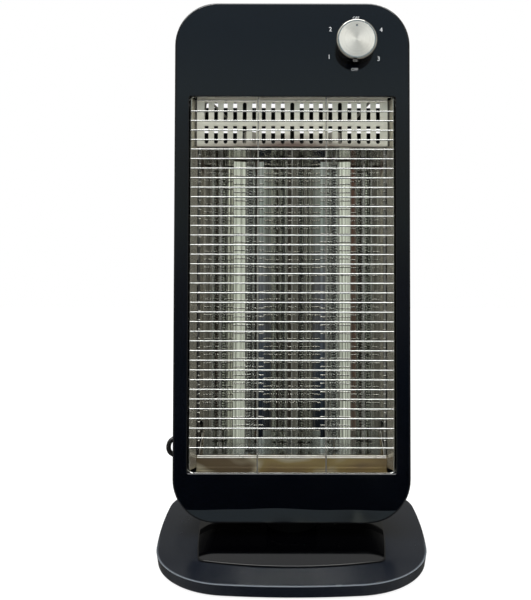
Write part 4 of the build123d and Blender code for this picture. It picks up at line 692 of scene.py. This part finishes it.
class HEATER_OT_camera(bpy.types.Operator):
    """Stand the camera in front of the heater, tipped up a little"""

    bl_idname = "heater.camera"
    bl_label = "Place Camera"

    def execute(self, context):
        camera = bpy.data.cameras.new("front_camera")
        camera.lens = 33.08
        camera.sensor_width = 36.0
        camera.shift_x = -0.0441
        camera.shift_y = -0.04535
        camera.clip_start = 0.02
        holder = bpy.data.objects.new("front_camera", camera)
        context.scene.collection.objects.link(holder)
        holder.location = CAMERA_PLACE
        holder.rotation_euler = (radians(CAMERA_TIP), radians(CAMERA_ROLL), 0)
        context.scene.camera = holder
        return {"FINISHED"}


class HEATER_OT_stage(bpy.types.Operator):
    """Lay the pale floor and light the heater softly"""

    bl_idname = "heater.stage"
    bl_label = "Light the Stage"

    def execute(self, context):
        looks = context.scene.heater_looks
        bm = bmesh.new()
        bmesh.ops.create_grid(bm, x_segments=1, y_segments=1, size=FLOOR_HALF)
        mesh = bpy.data.meshes.new("floor")
        bm.to_mesh(mesh)
        bm.free()
        floor = bpy.data.objects.new("floor", mesh)
        context.scene.collection.objects.link(floor)
        mesh.materials.append(floor_paint(looks.floor_colour))
        context.scene.world = studio_room()

        for name, place, width, depth, power in LAMPS:
            lamp = bpy.data.lights.new(name, "AREA")
            lamp.shape = "RECTANGLE"
            lamp.size = width
            lamp.size_y = depth
            lamp.energy = power
            holder = bpy.data.objects.new(name, lamp)
            context.scene.collection.objects.link(holder)
            holder.location = place
            line = Vector(LAMP_AIM) - Vector(place)
            holder.rotation_euler = line.to_track_quat("-Z", "Y").to_euler()
        context.scene.view_settings.view_transform = "Standard"
        return {"FINISHED"}


class HEATER_OT_finishes(bpy.types.Operator):
    """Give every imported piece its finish"""

    bl_idname = "heater.finishes"
    bl_label = "Apply Finishes"

    def execute(self, context):
        finishes.update(make_finishes())
        for entry in frame["record"]["subparts"]:
            piece = nodes[entry["node"]]
            finish = OWN_FINISH.get(entry["node"], entry["material_slot"])
            piece.data.materials.clear()
            piece.data.materials.append(finishes[finish])
        return {"FINISHED"}


# Facets of one turn of a coil, and the angle in degrees up to which its wire is shaded round
STEPS_PER_TURN = 14
COIL_SMOOTH = 80


class HEATER_OT_filaments(bpy.types.Operator):
    """Wind a fine coil into each tube"""

    bl_idname = "heater.filaments"
    bl_label = "Wind Filaments"

    def execute(self, context):
        looks = context.scene.heater_looks
        # The wire runs straight for a short tail at both ends of the coil
        wire, tail = looks.filament_wire, 0.003
        steps = looks.filament_turns * STEPS_PER_TURN
        for name in ("left_filament", "right_filament"):
            low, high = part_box(name)
            centre = (low + high) / 2
            reach = (high.x - low.x) / 2 - wire / 2
            bm = bmesh.new()
            start = Vector((centre.x + reach, centre.y, low.z + tail))
            bmesh.ops.create_circle(
                bm, segments=6, radius=wire / 2,
                matrix=Matrix.Translation(start) @ Matrix.Rotation(pi / 2, 4, "X"),
            )
            rise = high.z - low.z - 2 * tail
            bmesh.ops.spin(
                bm, geom=bm.edges[:], cent=centre, axis=(0, 0, 1), dvec=(0, 0, rise / steps),
                angle=2 * pi * looks.filament_turns, steps=steps, use_merge=False,
            )
            for z in (low.z + tail / 2, high.z - tail / 2):
                bmesh.ops.create_cone(
                    bm, cap_ends=True, segments=8, radius1=wire / 2, radius2=wire / 2,
                    depth=tail + wire, matrix=Matrix.Translation((start.x, start.y, z)),
                )
            bmesh.ops.recalc_face_normals(bm, faces=bm.faces[:])
            finish = finishes["resistance_wire"]
            coil = mesh_object(f"{name}_coil", bm, "casing", finish, COIL_SMOOTH)
            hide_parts(name)
        return {"FINISHED"}


class HEATER_OT_seam(bpy.types.Operator):
    """Fold the bright seam where the two troughs meet"""

    bl_idname = "heater.seam"
    bl_label = "Fold Trough Seam"

    def execute(self, context):
        low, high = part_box("left_reflector")
        radius, set_back = 0.0007, 0.0003
        bm = bmesh.new()
        bmesh.ops.create_circle(
            bm, cap_ends=True, segments=16, radius=radius,
            matrix=Matrix.Translation((0, low.y + set_back, low.z)),
        )
        lifted = bmesh.ops.extrude_face_region(bm, geom=bm.faces[:])
        top = [v for v in lifted["geom"] if isinstance(v, bmesh.types.BMVert)]
        bmesh.ops.translate(bm, verts=top, vec=(0, 0, high.z - low.z))
        bmesh.ops.recalc_face_normals(bm, faces=bm.faces[:])
        mesh_object("trough_seam", bm, "casing", finishes["chrome_wire"])
        return {"FINISHED"}


def lay_bar(bm, radius, length, centre):
    """Add a round bar that lies from left to right."""
    bmesh.ops.create_cone(
        bm, cap_ends=True, segments=16, radius1=radius, radius2=radius, depth=length,
        matrix=Matrix.Translation(centre) @ Matrix.Rotation(pi / 2, 4, "Y"),
    )


class HEATER_OT_hems(bpy.types.Operator):
    """Roll the bright hems along the strip under the tubes and the vent plate"""

    bl_idname = "heater.hems"
    bl_label = "Roll Strip Hems"

    def execute(self, context):
        # Radii of the rolled hems and of the fold under the upper one, and how much shorter they are
        hem, fold, short = 0.0006, 0.0005, 0.002
        fold_down, lower_hem_up, lip_z = 0.0024, 0.0008, 0.4948
        low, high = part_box("lower_reflector_strip")
        bm = bmesh.new()
        for z, radius in ((high.z - hem, hem), (high.z - fold_down, fold), (low.z + lower_hem_up, hem)):
            lay_bar(bm, radius, high.x - low.x - short, (0, low.y + radius, z))
        mesh_object("strip_hems", bm, "casing", finishes["hem_steel"])
        low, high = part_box("vent_plate")
        bm = bmesh.new()
        lay_bar(bm, hem, high.x - low.x - short, (0, low.y - hem, lip_z))
        mesh_object("vent_lip", bm, "casing", finishes["hem_steel"])
        return {"FINISHED"}


# Figures round the knob as (figure, x, z) of their middles
DIAL_FIGURES = (
    ("OFF", 0.0695, 0.5830),
    ("4", 0.0970, 0.5700),
    ("3", 0.0942, 0.5380),
    ("OFF", 0.0680, 0.5262),
    ("1", 0.0402, 0.5400),
    ("2", 0.0415, 0.5705),
)
# A figure's height as a share of its letter size, a word's size as a share of a figure's, and the ink
FIGURE_SHARE = 0.7
WORD_SHARE = 0.62
INK_THICK = 0.00003


class HEATER_OT_dial(bpy.types.Operator):
    """Print plain figures round the knob"""

    bl_idname = "heater.dial"
    bl_label = "Print Dial"

    def execute(self, context):
        looks = context.scene.heater_looks
        ink = printed_ink()
        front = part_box("front_casing")[0].y
        for index, (figure, x, z) in enumerate(DIAL_FIGURES):
            text = bpy.data.curves.new(f"figure_{index}", "FONT")
            text.body = figure
            text.size = looks.figure_height / FIGURE_SHARE * (1.0 if len(figure) == 1 else WORD_SHARE)
            text.align_x = "CENTER"
            text.align_y = "CENTER"
            text.extrude = INK_THICK
            maker = bpy.data.objects.new("figure", text)
            context.scene.collection.objects.link(maker)
            context.view_layer.update()
            mesh = bpy.data.meshes.new_from_object(maker)
            bpy.data.objects.remove(maker)
            mesh.materials.clear()
            mesh.transform(Matrix.Translation((x, front - INK_THICK, z)) @ Matrix.Rotation(pi / 2, 4, "X"))
            new_object(f"dial_figure_{index}", mesh, "casing", ink)
        return {"FINISHED"}


def half_turn(start, side, radius, level, rise, parts=8):
    """Control points of half a loop of the cord and the place where it ends, clockwise from above."""
    x, y = start
    centre_x = x + side * radius
    swell = radius / cos(pi / 2 / parts)
    points = []
    for i in range(parts):
        angle = pi * (i + 0.5) / parts
        points.append((
            centre_x - side * swell * cos(angle),
            y + side * swell * sin(angle),
            level + rise * (i + 0.5) / parts,
        ))
    return points, (x + side * 2 * radius, y)


# The cord from the strain relief, past the left edge of the casing and down to the floor
CORD_DROP = (
    (-0.0960, 0.0690, 0.0880),
    (-0.0960, 0.0880, 0.0880),
    (-0.1100, 0.1010, 0.0880),
    (-0.1370, 0.1030, 0.0880),
    (-0.1620, 0.0950, 0.0880),
    (-0.1630, 0.0920, 0.0680),
    (-0.1400, 0.0980, 0.0630),
    (-0.1270, 0.1150, 0.0540),
    (-0.1190, 0.1360, 0.0400),
    (-0.1130, 0.1580, 0.0240),
    (-0.1060, 0.1820, 0.0095),
    (-0.0990, 0.2100, 0.0041),
)
CORD_RADIUS = 0.0032
# The coil lies in two layers: inwards on the floor, then outwards on top of that
COIL_START = (-0.0990, 0.2380)
COIL_RADIUS = 0.0440
FLOOR_LEVEL = 0.0041
LAYER_RISE = 0.0069
TURN_STEP = 0.0072
INWARD_HALVES = 5
OUTWARD_SHARES = (0.0, 0.75, 1.25, 1.75)


class HEATER_OT_cord(bpy.types.Operator):
    """Lay the mains cord from the rear cover to its plug"""

    bl_idname = "heater.cord"
    bl_label = "Lay Cord"

    def execute(self, context):
        inward = [COIL_RADIUS - TURN_STEP / 4 - i * TURN_STEP / 2 for i in range(INWARD_HALVES)]
        outward = [inward[-1] + share * TURN_STEP for share in OUTWARD_SHARES]
        upper = FLOOR_LEVEL + LAYER_RISE
        # Half turns as (radius, level, rise), with the climb to the upper layer in the middle
        halves = [(reach, FLOOR_LEVEL, 0.0) for reach in inward]
        halves.append((inward[-1] - TURN_STEP / 2, FLOOR_LEVEL, LAYER_RISE))
        halves += [(reach, upper, 0.0) for reach in outward]
        route = list(CORD_DROP)
        spot, side = COIL_START, 1
        for reach, level, rise in halves:
            points, spot = half_turn(spot, side, reach, level, rise)
            route += points
            side = -side
        # The tail runs off the coil to the plug, which lies on its side
        x, y, z = *spot, upper
        route += [
            (x, y + 0.0240, z + 0.0004),
            (x + 0.0085, y + 0.0470, 0.0115),
            (x + 0.0290, y + 0.0600, 0.0125),
            (x + 0.0520, y + 0.0600, 0.0125),
        ]
        curve = bpy.data.curves.new("mains_cord", "CURVE")
        curve.dimensions = "3D"
        spline = curve.splines.new("NURBS")
        spline.points.add(len(route) - 1)
        for point, place in zip(spline.points, route):
            point.co = (*place, 1.0)
        spline.order_u = 3
        spline.use_endpoint_u = True
        spline.resolution_u = 5
        curve.bevel_depth = CORD_RADIUS
        curve.bevel_resolution = 3
        curve.use_fill_caps = True
        cord = new_object("mains_cord", curve, "casing", finishes["cord_black"])
        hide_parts("cord_run", "cord_coil", "cord_tail")
        return {"FINISHED"}


class HEATER_PT_panel(bpy.types.Panel):
    """Buttons for the heater's pieces"""

    bl_idname = "HEATER_PT_panel"
    bl_label = "Heater"
    bl_space_type = "VIEW_3D"
    bl_region_type = "UI"
    bl_category = "Heater"

    def draw(self, context):
        layout = self.layout
        looks = context.scene.heater_looks
        for name in ("filament_turns", "filament_wire", "figure_height", "floor_colour"):
            layout.prop(looks, name)
        for operator in STEPS:
            layout.operator(operator.bl_idname)


STEPS = (
    HEATER_OT_camera,
    HEATER_OT_stage,
    HEATER_OT_finishes,
    HEATER_OT_cord,
    HEATER_OT_filaments,
    HEATER_OT_seam,
    HEATER_OT_hems,
    HEATER_OT_dial,
)
CLASSES = (HeaterLooks, *STEPS, HEATER_PT_panel)


def register():
    for made in CLASSES:
        bpy.utils.register_class(made)
    bpy.types.Scene.heater_looks = bpy.props.PointerProperty(type=HeaterLooks)


def unregister():
    del bpy.types.Scene.heater_looks
    for made in reversed(CLASSES):
        bpy.utils.unregister_class(made)


def main():
    """Build everything in order."""
    register()
    for operator in STEPS:
        getattr(bpy.ops.heater, operator.bl_idname.split(".")[1])()


if __name__ == "__main__":
    main()
